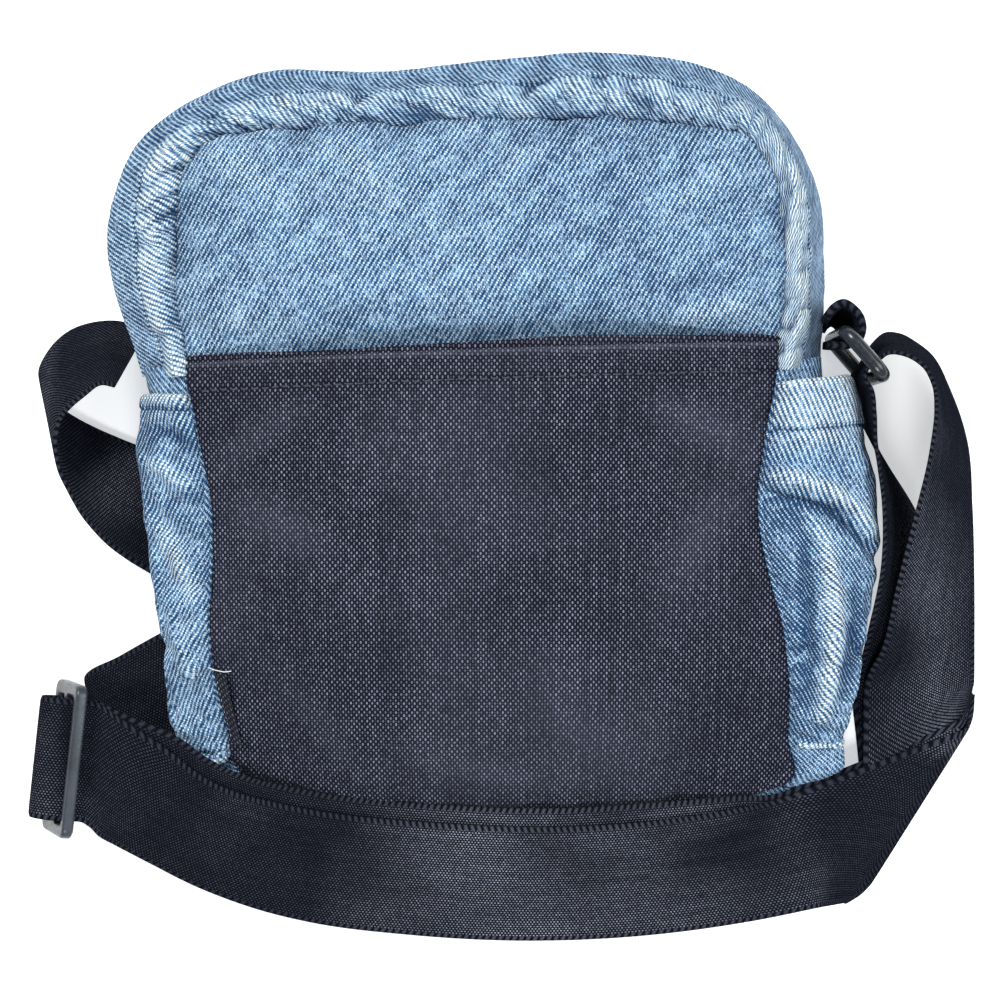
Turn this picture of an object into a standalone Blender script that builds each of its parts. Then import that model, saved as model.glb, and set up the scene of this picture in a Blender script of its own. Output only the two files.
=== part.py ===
"""Small denim shoulder bag, lying on its front with its strap laid round it.

+Z points out of the bag's back panel, +Y towards its zipped top, and the
front panel rests on Z = 0. The bag is empty, so it has sunk into a pillow
that is thick at the zipped top and thin at the bottom. All sizes are metres.
"""
import math

import bmesh
import bpy
from mathutils import Vector

# Cloth and webbing.
DENIM_THICKNESS = 0.0012
CANVAS_THICKNESS = 0.0010
LINING_THICKNESS = 0.0006
FOAM_THICKNESS = 0.0020
TAPE_THICKNESS = 0.0006
STRAP_WIDTH = 0.0385
STRAP_THICKNESS = 0.0014
TAB_THICKNESS = 0.0016

# Heights of the pillow at its middle, measured to the middle of each cloth.
BACK_CROWN = 0.0535
POCKET_CROWN = 0.0602
FRONT_LEVEL = DENIM_THICKNESS / 2
SEAM_GAP = 0.006            # share of a panel left free along each seam
POCKET_SEAM_LIFT = 0.0017   # the slip pocket's edge lies on the back panel's
FOAM_DROP = 0.0032
BACK_LINING_DROP = 0.0054
FRONT_LINING_LIFT = 0.0030

SLIP_POCKET_MOUTH = (0.603, 0.630)  # share of the panel's height, left and right

# Reach of each side's slope into a panel, as a share of its length.
BACK_SLOPES = {"left": 0.50, "right": 0.50, "bottom": 0.65, "top": 0.35}
FRONT_SLOPES = {"left": 0.30, "right": 0.30, "bottom": 0.30, "top": 0.30}
BACK_SLOPE_POWER = 2.0
FRONT_SLOPE_POWER = 1.2

# The bag's outline, clockwise from the middle of the top: the rear seam, the
# gusset's widest line and the front seam. The bag's left and right are those
# seen with its back panel facing the viewer.
OUTLINE = [
    ((0.0146, 0.0997, 0.0460), (0.0100, 0.1195, 0.0290), (0.0100, 0.1000, 0.0045)),
    ((0.0450, 0.1005, 0.0460), (0.0410, 0.1215, 0.0290), (0.0420, 0.1010, 0.0045)),
    ((0.0720, 0.0973, 0.0445), (0.0730, 0.1175, 0.0290), (0.0690, 0.0970, 0.0050)),
    ((0.0890, 0.0915, 0.0430), (0.0940, 0.1050, 0.0290), (0.0820, 0.0860, 0.0070)),
    ((0.0970, 0.0720, 0.0420), (0.1085, 0.0800, 0.0290), (0.0900, 0.0700, 0.0085)),
    ((0.0980, 0.0470, 0.0420), (0.1110, 0.0500, 0.0290), (0.0930, 0.0480, 0.0095)),
    ((0.0950, 0.0200, 0.0420), (0.1100, 0.0220, 0.0290), (0.0950, 0.0200, 0.0100)),
    ((0.0895, -0.0200, 0.0400), (0.1130, -0.0200, 0.0280), (0.0960, -0.0200, 0.0100)),
    ((0.0990, -0.0640, 0.0320), (0.1130, -0.0650, 0.0220), (0.0950, -0.0650, 0.0090)),
    ((0.1010, -0.0920, 0.0200), (0.1100, -0.0920, 0.0140), (0.0940, -0.0880, 0.0060)),
    ((0.0990, -0.1090, 0.0105), (0.1050, -0.1095, 0.0070), (0.0900, -0.1030, 0.0030)),
    ((0.0450, -0.1165, 0.0082), (0.0450, -0.1195, 0.0055), (0.0450, -0.1110, 0.0022)),
    ((0.0050, -0.1170, 0.0082), (0.0050, -0.1200, 0.0055), (0.0050, -0.1115, 0.0022)),
    ((-0.0380, -0.1155, 0.0082), (-0.0380, -0.1185, 0.0058), (-0.0380, -0.1100, 0.0030)),
    ((-0.0710, -0.1040, 0.0115), (-0.0760, -0.1070, 0.0085), (-0.0690, -0.0990, 0.0060)),
    ((-0.0760, -0.0900, 0.0180), (-0.0850, -0.0900, 0.0130), (-0.0770, -0.0860, 0.0090)),
    ((-0.0805, -0.0620, 0.0290), (-0.0880, -0.0620, 0.0200), (-0.0800, -0.0600, 0.0120)),
    ((-0.0790, -0.0220, 0.0380), (-0.0925, -0.0220, 0.0260), (-0.0840, -0.0220, 0.0130)),
    ((-0.0860, 0.0180, 0.0410), (-0.1040, 0.0180, 0.0290), (-0.0900, 0.0180, 0.0120)),
    ((-0.0900, 0.0500, 0.0420), (-0.1115, 0.0540, 0.0300), (-0.0915, 0.0500, 0.0100)),
    ((-0.0895, 0.0780, 0.0420), (-0.1100, 0.0780, 0.0290), (-0.0895, 0.0740, 0.0085)),
    ((-0.0810, 0.0910, 0.0430), (-0.0975, 0.0990, 0.0290), (-0.0800, 0.0880, 0.0070)),
    ((-0.0620, 0.0960, 0.0445), (-0.0650, 0.1150, 0.0290), (-0.0610, 0.0960, 0.0050)),
    ((-0.0300, 0.0980, 0.0460), (-0.0280, 0.1155, 0.0290), (-0.0280, 0.0990, 0.0045)),
]
REAR, WIDEST, FRONT = 0, 1, 2
RIGHT_TOP, RIGHT_BOTTOM, LEFT_BOTTOM, LEFT_TOP = 3, 10, 14, 21

# The middle of the zip, at outline places -6 to 6 about the top's middle. It
# is straight between places -2 and 2, where the slider runs.
ZIP_LINE = [
    (-0.1000, 0.0200, 0.0195), (-0.1045, 0.0520, 0.0190), (-0.1010, 0.0770, 0.0185),
    (-0.0880, 0.1000, 0.0180), (-0.0620, 0.1120, 0.0170), (-0.0300, 0.1120, 0.0170),
    (0.0050, 0.1120, 0.0170), (0.0360, 0.1120, 0.0170), (0.0660, 0.1120, 0.0170),
    (0.0900, 0.1000, 0.0180), (0.1020, 0.0750, 0.0185), (0.1050, 0.0480, 0.0190),
    (0.1040, 0.0220, 0.0195),
]
ZIP_HALF = 6
ZIP_STRAIGHT = 2
ZIP_TEETH_END = 5.0
GUSSET_END = 5.85
TAPE_WIDTH = 0.0056
TAPE_GAP = 0.0005
ZIP_SEAM = 0.0072           # zip middle to the gusset cloth's edge
TOOTH_RADIUS = 0.00125
TOOTH_OFFSET = 0.00145      # each row's middle from the zip's middle
TOOTH_STANDOFF = 0.00190    # the rows' middle above the tape's middle

# Zip slider and its pull. The slider rests at the closed end of the straight.
SLIDER_REST_X = 0.054
SLIDER_LENGTH = 0.0120
SLIDER_WIDTH = 0.0095
SLIDER_BASE = 0.0010        # underside above the tape's middle
SLIDER_TOP = 0.0054
SLIDER_GROOVE_WIDTH = 0.0066
SLIDER_GROOVE_TOP = 0.0039
BRIDGE_INNER_LENGTH = 0.0046
BRIDGE_INNER_HEIGHT = 0.0020
BRIDGE_METAL = 0.0010
BRIDGE_WIDTH = 0.0020
PULL_THICKNESS = 0.0012
PULL_WIDTH = 0.0068
PULL_LENGTH = 0.0260
PULL_WINDOW_WIDTH = 0.0032
PULL_WINDOW_LENGTH = 0.0052
STOP_SIZE = (0.0026, 0.0030, 0.0070)

# Side pockets: how far the cloth stands off the gusset at mid depth, at
# outline places from the mouth to the bottom.
RIGHT_POCKET_BULGE = [
    (6.0, 0.0070), (6.3, 0.0095), (6.6, 0.0118), (7.0, 0.0132), (7.7, 0.0108),
    (8.4, 0.0085), (9.0, 0.0072), (9.7, 0.0055),
]
LEFT_POCKET_BULGE = [
    (14.4, 0.0050), (15.0, 0.0068), (16.0, 0.0072), (17.0, 0.0078), (17.95, 0.0030),
]
POCKET_STANDOFF = 0.0016
POCKET_EDGE = 0.10          # share of the gusset's girth left free at each seam

# Ring, its tab and the strap's way through it.
RING_MIDDLE = Vector((0.1220, 0.0270, 0.0255))
RING_LEAN = (0.6575, -0.7535)   # from the tab's bar to the strap's bar, in plan
RING_LENGTH = 0.0490
RING_WIDTH = 0.0219
RING_BAR_RADIUS = 0.0023
RING_CORNER = 0.0040
TAB_LOW = 0.0070
TAB_HIGH = 0.0450
TAB_PATH = [
    (0.1125, 0.0405), (0.1145, 0.0435), (0.1175, 0.0437), (0.1208, 0.0405),
    (0.1226, 0.0360), (0.1220, 0.0320), (0.1197, 0.0296), (0.1165, 0.0283),
    (0.1127, 0.0286),
]

# Strap adjuster: a flat frame with a middle bar, leaning on its long edge.
ADJUSTER_MIDDLE = Vector((-0.1283, -0.1000, 0.0147))
ADJUSTER_ALONG = Vector((0.107, 0.994, 0.0)).normalized()
ADJUSTER_UP = Vector((0.39, -0.042, 0.92)).normalized()
ADJUSTER_LENGTH = 0.0485
ADJUSTER_HEIGHT = 0.0262
ADJUSTER_THICKNESS = 0.0036
ADJUSTER_CORNER = 0.0030
SLOT_LENGTH = 0.0400
SLOT_CORNER = 0.0012
SLOT_NEAR = 0.0019          # middle bar's half height
SLOT_FAR = 0.0096

# The strap's route is one strip of webbing, given by its two selvedges. The
# first lies nearer the bag's bottom, or higher where the strip is on edge.
LEFT_LOOP = [
    ((-0.1096, 0.0180, 0.0330), (-0.1040, 0.0360, 0.0035)),
    ((-0.1140, 0.0188, 0.0330), (-0.1130, 0.0385, 0.0042)),
    ((-0.1195, 0.0150, 0.0325), (-0.1255, 0.0370, 0.0042)),
    ((-0.1245, 0.0110, 0.0320), (-0.1328, 0.0317, 0.0042)),
    ((-0.1280, 0.0070, 0.0310), (-0.1372, 0.0237, 0.0042)),
    ((-0.1292, 0.0000, 0.0300), (-0.1372, 0.0190, 0.0042)),
    ((-0.1280, -0.0080, 0.0285), (-0.1352, 0.0145, 0.0042)),
    ((-0.1255, -0.0140, 0.0265), (-0.1322, 0.0110, 0.0042)),
    ((-0.1225, -0.0200, 0.0240), (-0.1272, 0.0074, 0.0040)),
    ((-0.1180, -0.0262, 0.0215), (-0.1200, 0.0036, 0.0036)),
    ((-0.1135, -0.0311, 0.0190), (-0.1125, 0.0004, 0.0032)),
    ((-0.1078, -0.0362, 0.0155), (-0.1048, -0.0022, 0.0026)),
    ((-0.0996, -0.0420, 0.0095), (-0.0962, -0.0060, 0.0018)),
    ((-0.0910, -0.0500, 0.0045), (-0.0830, -0.0126, 0.0014)),
    ((-0.0843, -0.0579, 0.0012), (-0.0637, -0.0261, 0.0010)),
]
UNDER_FOLD_MIDDLE = (-0.0590, -0.0600)
UNDER_FOLD_HEADINGS = (-45.0, 210.0)
LOWER_LEG = [
    ((-0.0748, -0.0911, 0.0028), (-0.0932, -0.0579, 0.0028)),
    ((-0.0957, -0.1026, 0.0032), (-0.1123, -0.0684, 0.0040)),
    ((-0.1128, -0.1113, 0.0045), (-0.1232, -0.0747, 0.0052)),
]
FRONT_BAND = [
    ((-0.1174, -0.1241, 0.0140), (-0.1096, -0.0883, 0.0185)),
    ((-0.1125, -0.1265, 0.0090), (-0.0965, -0.0980, 0.0200)),
    ((-0.1019, -0.1333, 0.0048), (-0.0852, -0.1062, 0.0200)),
    ((-0.0869, -0.1412, 0.0044), (-0.0732, -0.1116, 0.0195)),
    ((-0.0701, -0.1481, 0.0048), (-0.0612, -0.1143, 0.0180)),
    ((-0.0520, -0.1532, 0.0058), (-0.0451, -0.1169, 0.0172)),
    ((-0.0190, -0.1580, 0.0068), (-0.0154, -0.1193, 0.0168)),
    ((0.0260, -0.1599, 0.0068), (0.0268, -0.1209, 0.0168)),
    ((0.0665, -0.1572, 0.0068), (0.0634, -0.1184, 0.0168)),
    ((0.0930, -0.1531, 0.0068), (0.0855, -0.1150, 0.0160)),
    ((0.1125, -0.1485, 0.0067), (0.1021, -0.1119, 0.0130)),
]
# How far the under layer is set towards the bag at each place above.
UNDER_LAYER_SHIFT = [
    0.0015, 0.0045, 0.0050, 0.0048, 0.0042, 0.0038, 0.0038, 0.0038, 0.0022, 0.0005, 0.0,
]
LAYER_PITCH = 0.0019
CORNER_FOLD_MIDDLE = (0.1424, -0.1141)
CORNER_FOLD_HEADINGS = (23.8, 91.8)
CREASE_ANGLE = 50.0
FLOOR_LAYER = 0.0009
INNER_LEG = [
    ((0.1232, -0.0830, 0.0060), (0.1608, -0.0785, 0.0010)),
    ((0.1240, -0.0765, 0.0100), (0.1605, -0.0740, 0.0011)),
    ((0.1260, -0.0608, 0.0215), (0.1580, -0.0580, 0.0013)),
    ((0.1295, -0.0370, 0.0320), (0.1495, -0.0340, 0.0014)),
    ((0.1292, -0.0196, 0.0355), (0.1420, -0.0190, 0.0014)),
    ((0.1275, -0.0080, 0.0380), (0.1345, -0.0070, 0.0016)),
    ((0.1262, 0.0000, 0.0400), (0.1295, 0.0015, 0.0022)),
    ((0.1256, 0.0090, 0.0425), (0.1256, 0.0090, 0.0045)),
    ((0.1243, 0.0164, 0.0440), (0.1243, 0.0164, 0.0060)),
    ((0.1227, 0.0188, 0.0445), (0.1227, 0.0188, 0.0065)),
    ((0.1228, 0.0219, 0.0445), (0.1228, 0.0219, 0.0065)),
    ((0.1246, 0.0241, 0.0445), (0.1246, 0.0241, 0.0065)),
]
OUTER_LEG = [
    ((0.1270, 0.0255, 0.0445), (0.1272, 0.0285, 0.0065)),
    ((0.1288, 0.0268, 0.0445), (0.1294, 0.0318, 0.0065)),
    ((0.1315, 0.0272, 0.0440), (0.1327, 0.0350, 0.0065)),
    ((0.1362, 0.0260, 0.0435), (0.1376, 0.0352, 0.0060)),
    ((0.1409, 0.0227, 0.0430), (0.1428, 0.0327, 0.0055)),
    ((0.1434, 0.0181, 0.0425), (0.1483, 0.0285, 0.0050)),
    ((0.1444, 0.0105, 0.0417), (0.1545, 0.0168, 0.0045)),
    ((0.1430, -0.0025, 0.0390), (0.1601, 0.0013, 0.0035)),
    ((0.1389, -0.0220, 0.0350), (0.1621, -0.0212, 0.0030)),
    ((0.1337, -0.0446, 0.0300), (0.1628, -0.0421, 0.0030)),
    ((0.1298, -0.0649, 0.0245), (0.1628, -0.0630, 0.0031)),
    ((0.1255, -0.0785, 0.0150), (0.1625, -0.0765, 0.0034)),
]
# The running webbing's bight and the sewn end's loop at the adjuster, as
# (towards the loop's far side, up) from the middle bar.
RUNNING_BIGHT = [
    (-0.0060, -0.0064), (0.0, -0.0060), (0.0050, -0.0056), (0.0080, -0.0034), (0.0090, 0.0),
    (0.0080, 0.0034), (0.0050, 0.0058), (0.0, 0.0064), (-0.0060, 0.0064),
]
SEWN_LOOP = [
    (-0.0070, 0.0044), (0.0, 0.0042), (0.0030, 0.0030), (0.0042, 0.0), (0.0030, -0.0028),
    (0.0, -0.0038), (-0.0050, -0.0024),
]
TAIL_STATIONS = 3

# Small woven side label, sewn into the left rear seam.
LABEL_FROM, LABEL_TO = 15.15, 16.05
LABEL_WIDTH = 0.0065
PANEL_WIDTH_AT_LABEL = 0.18
LABEL_LIFT = 0.0012
LABEL_THICKNESS = 0.0006

GRID_WIDE = 12
GRID_TALL = 12

COLOURS = {
    "denim": ((0.17, 0.28, 0.46, 1.0), 0.85, 0.0),
    "canvas": ((0.018, 0.020, 0.034, 1.0), 0.75, 0.0),
    "lining": ((0.030, 0.032, 0.040, 1.0), 0.80, 0.0),
    "foam": ((0.60, 0.60, 0.58, 1.0), 0.95, 0.0),
    "webbing": ((0.012, 0.014, 0.024, 1.0), 0.60, 0.0),
    "zip_tape": ((0.020, 0.022, 0.032, 1.0), 0.80, 0.0),
    "zip_teeth": ((0.030, 0.030, 0.036, 1.0), 0.45, 0.0),
    "zip_metal": ((0.22, 0.22, 0.23, 1.0), 0.35, 1.0),
    "plastic": ((0.045, 0.050, 0.060, 1.0), 0.45, 0.0),
    "label": ((0.014, 0.014, 0.020, 1.0), 0.85, 0.0),
}

for old in list(bpy.data.objects):
    bpy.data.objects.remove(old, do_unlink=True)

BAG = bpy.data.collections.new("denim_shoulder_bag")
CUTTERS = bpy.data.collections.new("cutters")
bpy.context.scene.collection.children.link(BAG)
bpy.context.scene.collection.children.link(CUTTERS)


def material(name):
    """Return the named Principled material, making it the first time."""
    found = bpy.data.materials.get(name)
    if found:
        return found
    colour, roughness, metallic = COLOURS[name]
    made = bpy.data.materials.new(name)
    made.use_nodes = True
    shader = made.node_tree.nodes["Principled BSDF"]
    shader.inputs["Base Color"].default_value = colour
    shader.inputs["Roughness"].default_value = roughness
    shader.inputs["Metallic"].default_value = metallic
    made.diffuse_color = colour
    return made


def object_from_bmesh(name, shape, slot, collection=BAG):
    mesh = bpy.data.meshes.new(name)
    shape.to_mesh(mesh)
    shape.free()
    made = bpy.data.objects.new(name, mesh)
    made.data.materials.append(material(slot))
    collection.objects.link(made)
    return made


def cloth(name, rows, thickness, slot):
    """A sheet through a grid of points, thickened evenly about its middle."""
    shape = bmesh.new()
    grid = [[shape.verts.new(point) for point in row] for row in rows]
    for low, high in zip(grid, grid[1:]):
        for a, b, c, d in zip(low, low[1:], high[1:], high):
            shape.faces.new((a, b, c, d))
    made = object_from_bmesh(name, shape, slot)
    solid = made.modifiers.new("thickness", "SOLIDIFY")
    solid.thickness = thickness
    solid.offset = 0.0
    solid.use_even_offset = True
    made.data.shade_smooth()
    made.data.set_sharp_from_angle(angle=math.radians(CREASE_ANGLE))
    return made


def catmull(before, start, end, after, share):
    """Point between start and end on the smooth curve through all four."""
    square = share * share
    cube = square * share
    return 0.5 * (
        2.0 * start
        + (end - before) * share
        + (2.0 * before - 5.0 * start + 4.0 * end - after) * square
        + (3.0 * start - before - 3.0 * end + after) * cube
    )


def outline_point(line, place):
    """Point on one of the outline's three closed lines."""
    count = len(OUTLINE)
    index = math.floor(place)
    near = [Vector(OUTLINE[(index + step) % count][line]) for step in (-1, 0, 1, 2)]
    return catmull(*near, place - index)


def zip_point(place):
    """Point on the zip's middle, for places -6 to 6."""
    place = max(-ZIP_HALF, min(ZIP_HALF, place))
    index = min(math.floor(place), ZIP_HALF - 1)
    share = place - index
    start = Vector(ZIP_LINE[index + ZIP_HALF])
    end = Vector(ZIP_LINE[index + ZIP_HALF + 1])
    if -ZIP_STRAIGHT <= index < ZIP_STRAIGHT:
        return start.lerp(end, share)
    before = Vector(ZIP_LINE[max(index - 1 + ZIP_HALF, 0)])
    after = Vector(ZIP_LINE[min(index + 2 + ZIP_HALF, 2 * ZIP_HALF)])
    return catmull(before, start, end, after, share)


def zip_outward(place):
    """Level unit vector out of the bag, square to the zip."""
    step = 0.05
    along = zip_point(place + step) - zip_point(place - step)
    return Vector((-along.y, along.x, 0.0)).normalized()


def span(low, high, count):
    """Evenly spaced numbers from low to high."""
    return [low + (high - low) * index / (count - 1) for index in range(count)]


def panel_sides(line, across, up):
    """The four side points of a panel at shares across and up."""
    top = outline_point(line, LEFT_TOP - 24 + (24 + RIGHT_TOP - LEFT_TOP) * across)
    bottom = outline_point(line, LEFT_BOTTOM - (LEFT_BOTTOM - RIGHT_BOTTOM) * across)
    left = outline_point(line, LEFT_TOP - (LEFT_TOP - LEFT_BOTTOM) * (1 - up))
    right = outline_point(line, RIGHT_TOP + (RIGHT_BOTTOM - RIGHT_TOP) * (1 - up))
    return left, right, bottom, top


def panel_point(line, across, up, level, slopes, power):
    """Point of a panel that is level in its middle and meets its four seams."""
    left, right, bottom, top = panel_sides(line, across, up)
    corners = [
        outline_point(line, place)
        for place in (LEFT_BOTTOM, RIGHT_BOTTOM, LEFT_TOP, RIGHT_TOP)
    ]
    plan = (
        left * (1 - across) + right * across + bottom * (1 - up) + top * up
        - corners[0] * (1 - across) * (1 - up) - corners[1] * across * (1 - up)
        - corners[2] * (1 - across) * up - corners[3] * across * up
    )
    pull_left = max(0.0, 1 - across / slopes["left"]) ** power
    pull_right = max(0.0, 1 - (1 - across) / slopes["right"]) ** power
    pull_bottom = max(0.0, 1 - up / slopes["bottom"]) ** power
    pull_top = max(0.0, 1 - (1 - up) / slopes["top"]) ** power
    height = level
    height += pull_left * (left.z - level) + pull_right * (right.z - level)
    height += pull_bottom * (bottom.z - level) + pull_top * (top.z - level)
    height -= pull_bottom * pull_left * (corners[0].z - level)
    height -= pull_bottom * pull_right * (corners[1].z - level)
    height -= pull_top * pull_left * (corners[2].z - level)
    height -= pull_top * pull_right * (corners[3].z - level)
    return Vector((plan.x, plan.y, height))


def panel_rows(line, level, slopes, power, lift=0.0, inset=SEAM_GAP, mouth=None):
    """Grid over a panel, lifted; mouth gives its top edge's two end shares."""
    left_top, right_top = mouth if mouth else (1 - inset, 1 - inset)
    rows = []
    for step in span(0.0, 1.0, GRID_TALL):
        row = []
        for across in span(inset, 1 - inset, GRID_WIDE):
            upper = left_top + (right_top - left_top) * across
            up = inset + (upper - inset) * step
            point = panel_point(line, across, up, level, slopes, power)
            row.append(point + Vector((0, 0, lift)))
        rows.append(row)
    return rows


def curve_through(first, middle, last, middle_share, share):
    """Parabola that passes its middle point at middle_share."""
    to_first = (share - middle_share) * (share - 1) / middle_share
    to_middle = share * (share - 1) / (middle_share * (middle_share - 1))
    to_last = share * (share - middle_share) / (1 - middle_share)
    return first * to_first + middle * to_middle + last * to_last


def strip_rows(section, low, high, along, across):
    """Grid of section(place, share) over a run of outline places."""
    return [[section(place, share) for share in across] for place in span(low, high, along)]


def rear_gusset_section(place, share):
    upper = zip_point(place) + Vector((0, 0, ZIP_SEAM))
    rear = outline_point(REAR, place)
    widest = outline_point(WIDEST, place)
    return curve_through(rear, widest, upper, 0.62, share)


def front_gusset_section(place, share):
    lower = zip_point(place) - Vector((0, 0, ZIP_SEAM))
    front = outline_point(FRONT, place)
    belly = lower.lerp(front, 0.5) - Vector((0, 0, 0.0010))
    return curve_through(lower, belly, front, 0.5, share)


def side_section(place, share):
    rear = outline_point(REAR, place)
    widest = outline_point(WIDEST, place)
    front = outline_point(FRONT, place)
    return curve_through(rear, widest, front, 0.5, share)


def table_value(table, place):
    """Value at a place, straight between the table's entries."""
    for (low, first), (high, last) in zip(table, table[1:]):
        if place <= high:
            share = max(0.0, (place - low) / (high - low))
            return first + (last - first) * share
    return table[-1][1]


def pocket_section(bulges):
    """Section of a side pocket that stands off the gusset cloth."""
    def section(place, share):
        point = side_section(place, share)
        step = 0.02
        along = side_section(place + step, share) - side_section(place - step, share)
        around = side_section(place, share + step) - side_section(place, share - step)
        outward = along.cross(around).normalized()
        level_out = Vector((math.copysign(1.0, point.x), 0.0, 0.0))
        if outward.dot(level_out + Vector((0, 0, 1 - 2 * share))) < 0:
            outward.negate()
        bulge = table_value(bulges, place) * math.sin(math.pi * share)
        return point + outward * POCKET_STANDOFF + level_out * bulge
    return section


def tape_rows(side):
    """One half of the zip tape; side is 1 towards the rear and -1 to the front."""
    rows = []
    for place in span(-GUSSET_END, GUSSET_END, 41):
        middle = zip_point(place)
        near = middle + Vector((0, 0, side * TAPE_GAP))
        far = middle + Vector((0, 0, side * (TAPE_GAP + TAPE_WIDTH)))
        rows.append([near, far])
    return rows


def mesh_from_curve(curve_object):
    """Replace a curve by its welded mesh."""
    bpy.context.view_layer.update()
    graph = bpy.context.evaluated_depsgraph_get()
    mesh = bpy.data.meshes.new_from_object(curve_object.evaluated_get(graph))
    shape = bmesh.new()
    shape.from_mesh(mesh)
    bmesh.ops.remove_doubles(shape, verts=shape.verts, dist=0.000001)
    bmesh.ops.recalc_face_normals(shape, faces=shape.faces)
    shape.to_mesh(mesh)
    shape.free()
    name = curve_object.name
    placed = curve_object.matrix_world.copy()
    bpy.data.objects.remove(curve_object, do_unlink=True)
    made = bpy.data.objects.new(name, mesh)
    made.matrix_world = placed
    BAG.objects.link(made)
    return made


def rod(name, points, radius, slot, closed=False, resolution=2):
    """A round rod along points."""
    curve = bpy.data.curves.new(name, "CURVE")
    curve.dimensions = "3D"
    curve.bevel_depth = radius
    curve.bevel_resolution = resolution
    curve.use_fill_caps = True
    spline = curve.splines.new("POLY")
    spline.points.add(len(points) - 1)
    for entry, point in zip(spline.points, points):
        entry.co = (*point, 1.0)
    spline.use_cyclic_u = closed
    curve.materials.append(material(slot))
    held = bpy.data.objects.new(name, curve)
    BAG.objects.link(held)
    made = mesh_from_curve(held)
    made.data.shade_smooth()
    return made


def rounded_rectangle(length, width, radius, steps):
    """Corner-rounded outline about the origin, anticlockwise."""
    points = []
    for turn, (sign_x, sign_y) in enumerate(((1, 1), (-1, 1), (-1, -1), (1, -1))):
        for angle in span(90 * turn, 90 * (turn + 1), steps):
            points.append((
                sign_x * (length / 2 - radius) + radius * math.cos(math.radians(angle)),
                sign_y * (width / 2 - radius) + radius * math.sin(math.radians(angle)),
            ))
    return points


def flat_plate(name, outlines, thickness, slot, bevel=0.0):
    """A plate in its own XY plane; the outlines after the first are its holes."""
    curve = bpy.data.curves.new(name, "CURVE")
    curve.dimensions = "2D"
    curve.fill_mode = "BOTH"
    curve.extrude = thickness / 2 - bevel
    curve.bevel_depth = bevel
    curve.bevel_resolution = 1
    curve.offset = -bevel
    for outline in outlines:
        spline = curve.splines.new("POLY")
        spline.points.add(len(outline) - 1)
        for entry, (x, y) in zip(spline.points, outline):
            entry.co = (x, y, 0.0, 1.0)
        spline.use_cyclic_u = True
    curve.materials.append(material(slot))
    held = bpy.data.objects.new(name, curve)
    BAG.objects.link(held)
    return mesh_from_curve(held)


def block(name, low, high, slot, collection=BAG):
    """A box between two corners, with its origin at the world origin."""
    shape = bmesh.new()
    bmesh.ops.create_cube(shape, size=1.0)
    low = Vector(low)
    high = Vector(high)
    for vert in shape.verts:
        vert.co = Vector(
            (low[axis] + high[axis]) / 2 + vert.co[axis] * (high[axis] - low[axis])
            for axis in range(3)
        )
    return object_from_bmesh(name, shape, slot, collection)


def combine(target, others, operation):
    """Join or cut target with helper blocks, which stay hidden."""
    for other in others:
        other.hide_render = True
        other.display_type = "WIRE"
        cut = target.modifiers.new(other.name, "BOOLEAN")
        cut.operation = operation
        cut.object = other


def set_origin(part, place):
    """Move a part's origin without moving its mesh in the world."""
    place = Vector(place)
    for vert in part.data.vertices:
        vert.co -= place
    part.location = place


def adjuster_point(out, up, along=0.0):
    """World point from the adjuster's own axes."""
    return (
        ADJUSTER_MIDDLE + ADJUSTER_OUT * out + ADJUSTER_UP * up + ADJUSTER_ALONG * along
    )


def adjuster_stations(places):
    """Selvedge pairs of webbing that runs square through the adjuster."""
    half = STRAP_WIDTH / 2
    return [
        (adjuster_point(out, up, -half), adjuster_point(out, up, half))
        for out, up in places
    ]


def trimmed(pairs):
    """The same stations, each exactly one webbing width across."""
    done = []
    for first, second in pairs:
        middle = (Vector(first) + Vector(second)) / 2
        half = (Vector(first) - Vector(second)).normalized() * (STRAP_WIDTH / 2)
        done.append((middle + half, middle - half))
    return done


def flat_fold(middle, heading_in, heading_out, radius, level, rise):
    """Stations round a flat fold, along rulings parallel to the crease.

    level is the height of the fold's middle; rise is 1 where the webbing goes
    up through the fold and -1 where it goes down.
    """
    crease_angle = math.radians((heading_in + heading_out) / 2)
    crease = Vector((math.cos(crease_angle), math.sin(crease_angle), 0.0))
    heading = Vector((
        math.cos(math.radians(heading_in)), math.sin(math.radians(heading_in)), 0.0
    ))
    outward = Vector((crease.y, -crease.x, 0.0))
    if outward.dot(heading) < 0:
        outward.negate()
    drift = heading.dot(crease) / heading.dot(outward)
    half = crease * (STRAP_WIDTH / 2 / heading.dot(outward))
    right_of_travel = Vector((heading.y, -heading.x, 0.0))
    if half.dot(right_of_travel) < 0:
        half.negate()
    stations = []
    for angle in span(-90.0, 90.0, 5):
        turn = math.radians(angle)
        place = Vector((middle[0], middle[1], level))
        place += outward * radius * math.cos(turn)
        place += crease * radius * turn * drift
        place.z += rise * radius * math.sin(turn)
        stations.append((place + half, place - half))
    return stations


def under_layer(pairs, shifts, layers):
    """Stations a number of layers below the given ones, set towards the bag."""
    middles = [(first + second) / 2 for first, second in pairs]
    done = []
    for index, (first, second) in enumerate(pairs):
        after = middles[min(index + 1, len(pairs) - 1)]
        before = middles[max(index - 1, 0)]
        across = (second - first).normalized()
        down = (after - before).cross(across).normalized()
        if down.z > 0:
            down.negate()
        move = down * LAYER_PITCH * layers + across * shifts[index]
        done.append((first + move, second + move))
    return done


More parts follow.
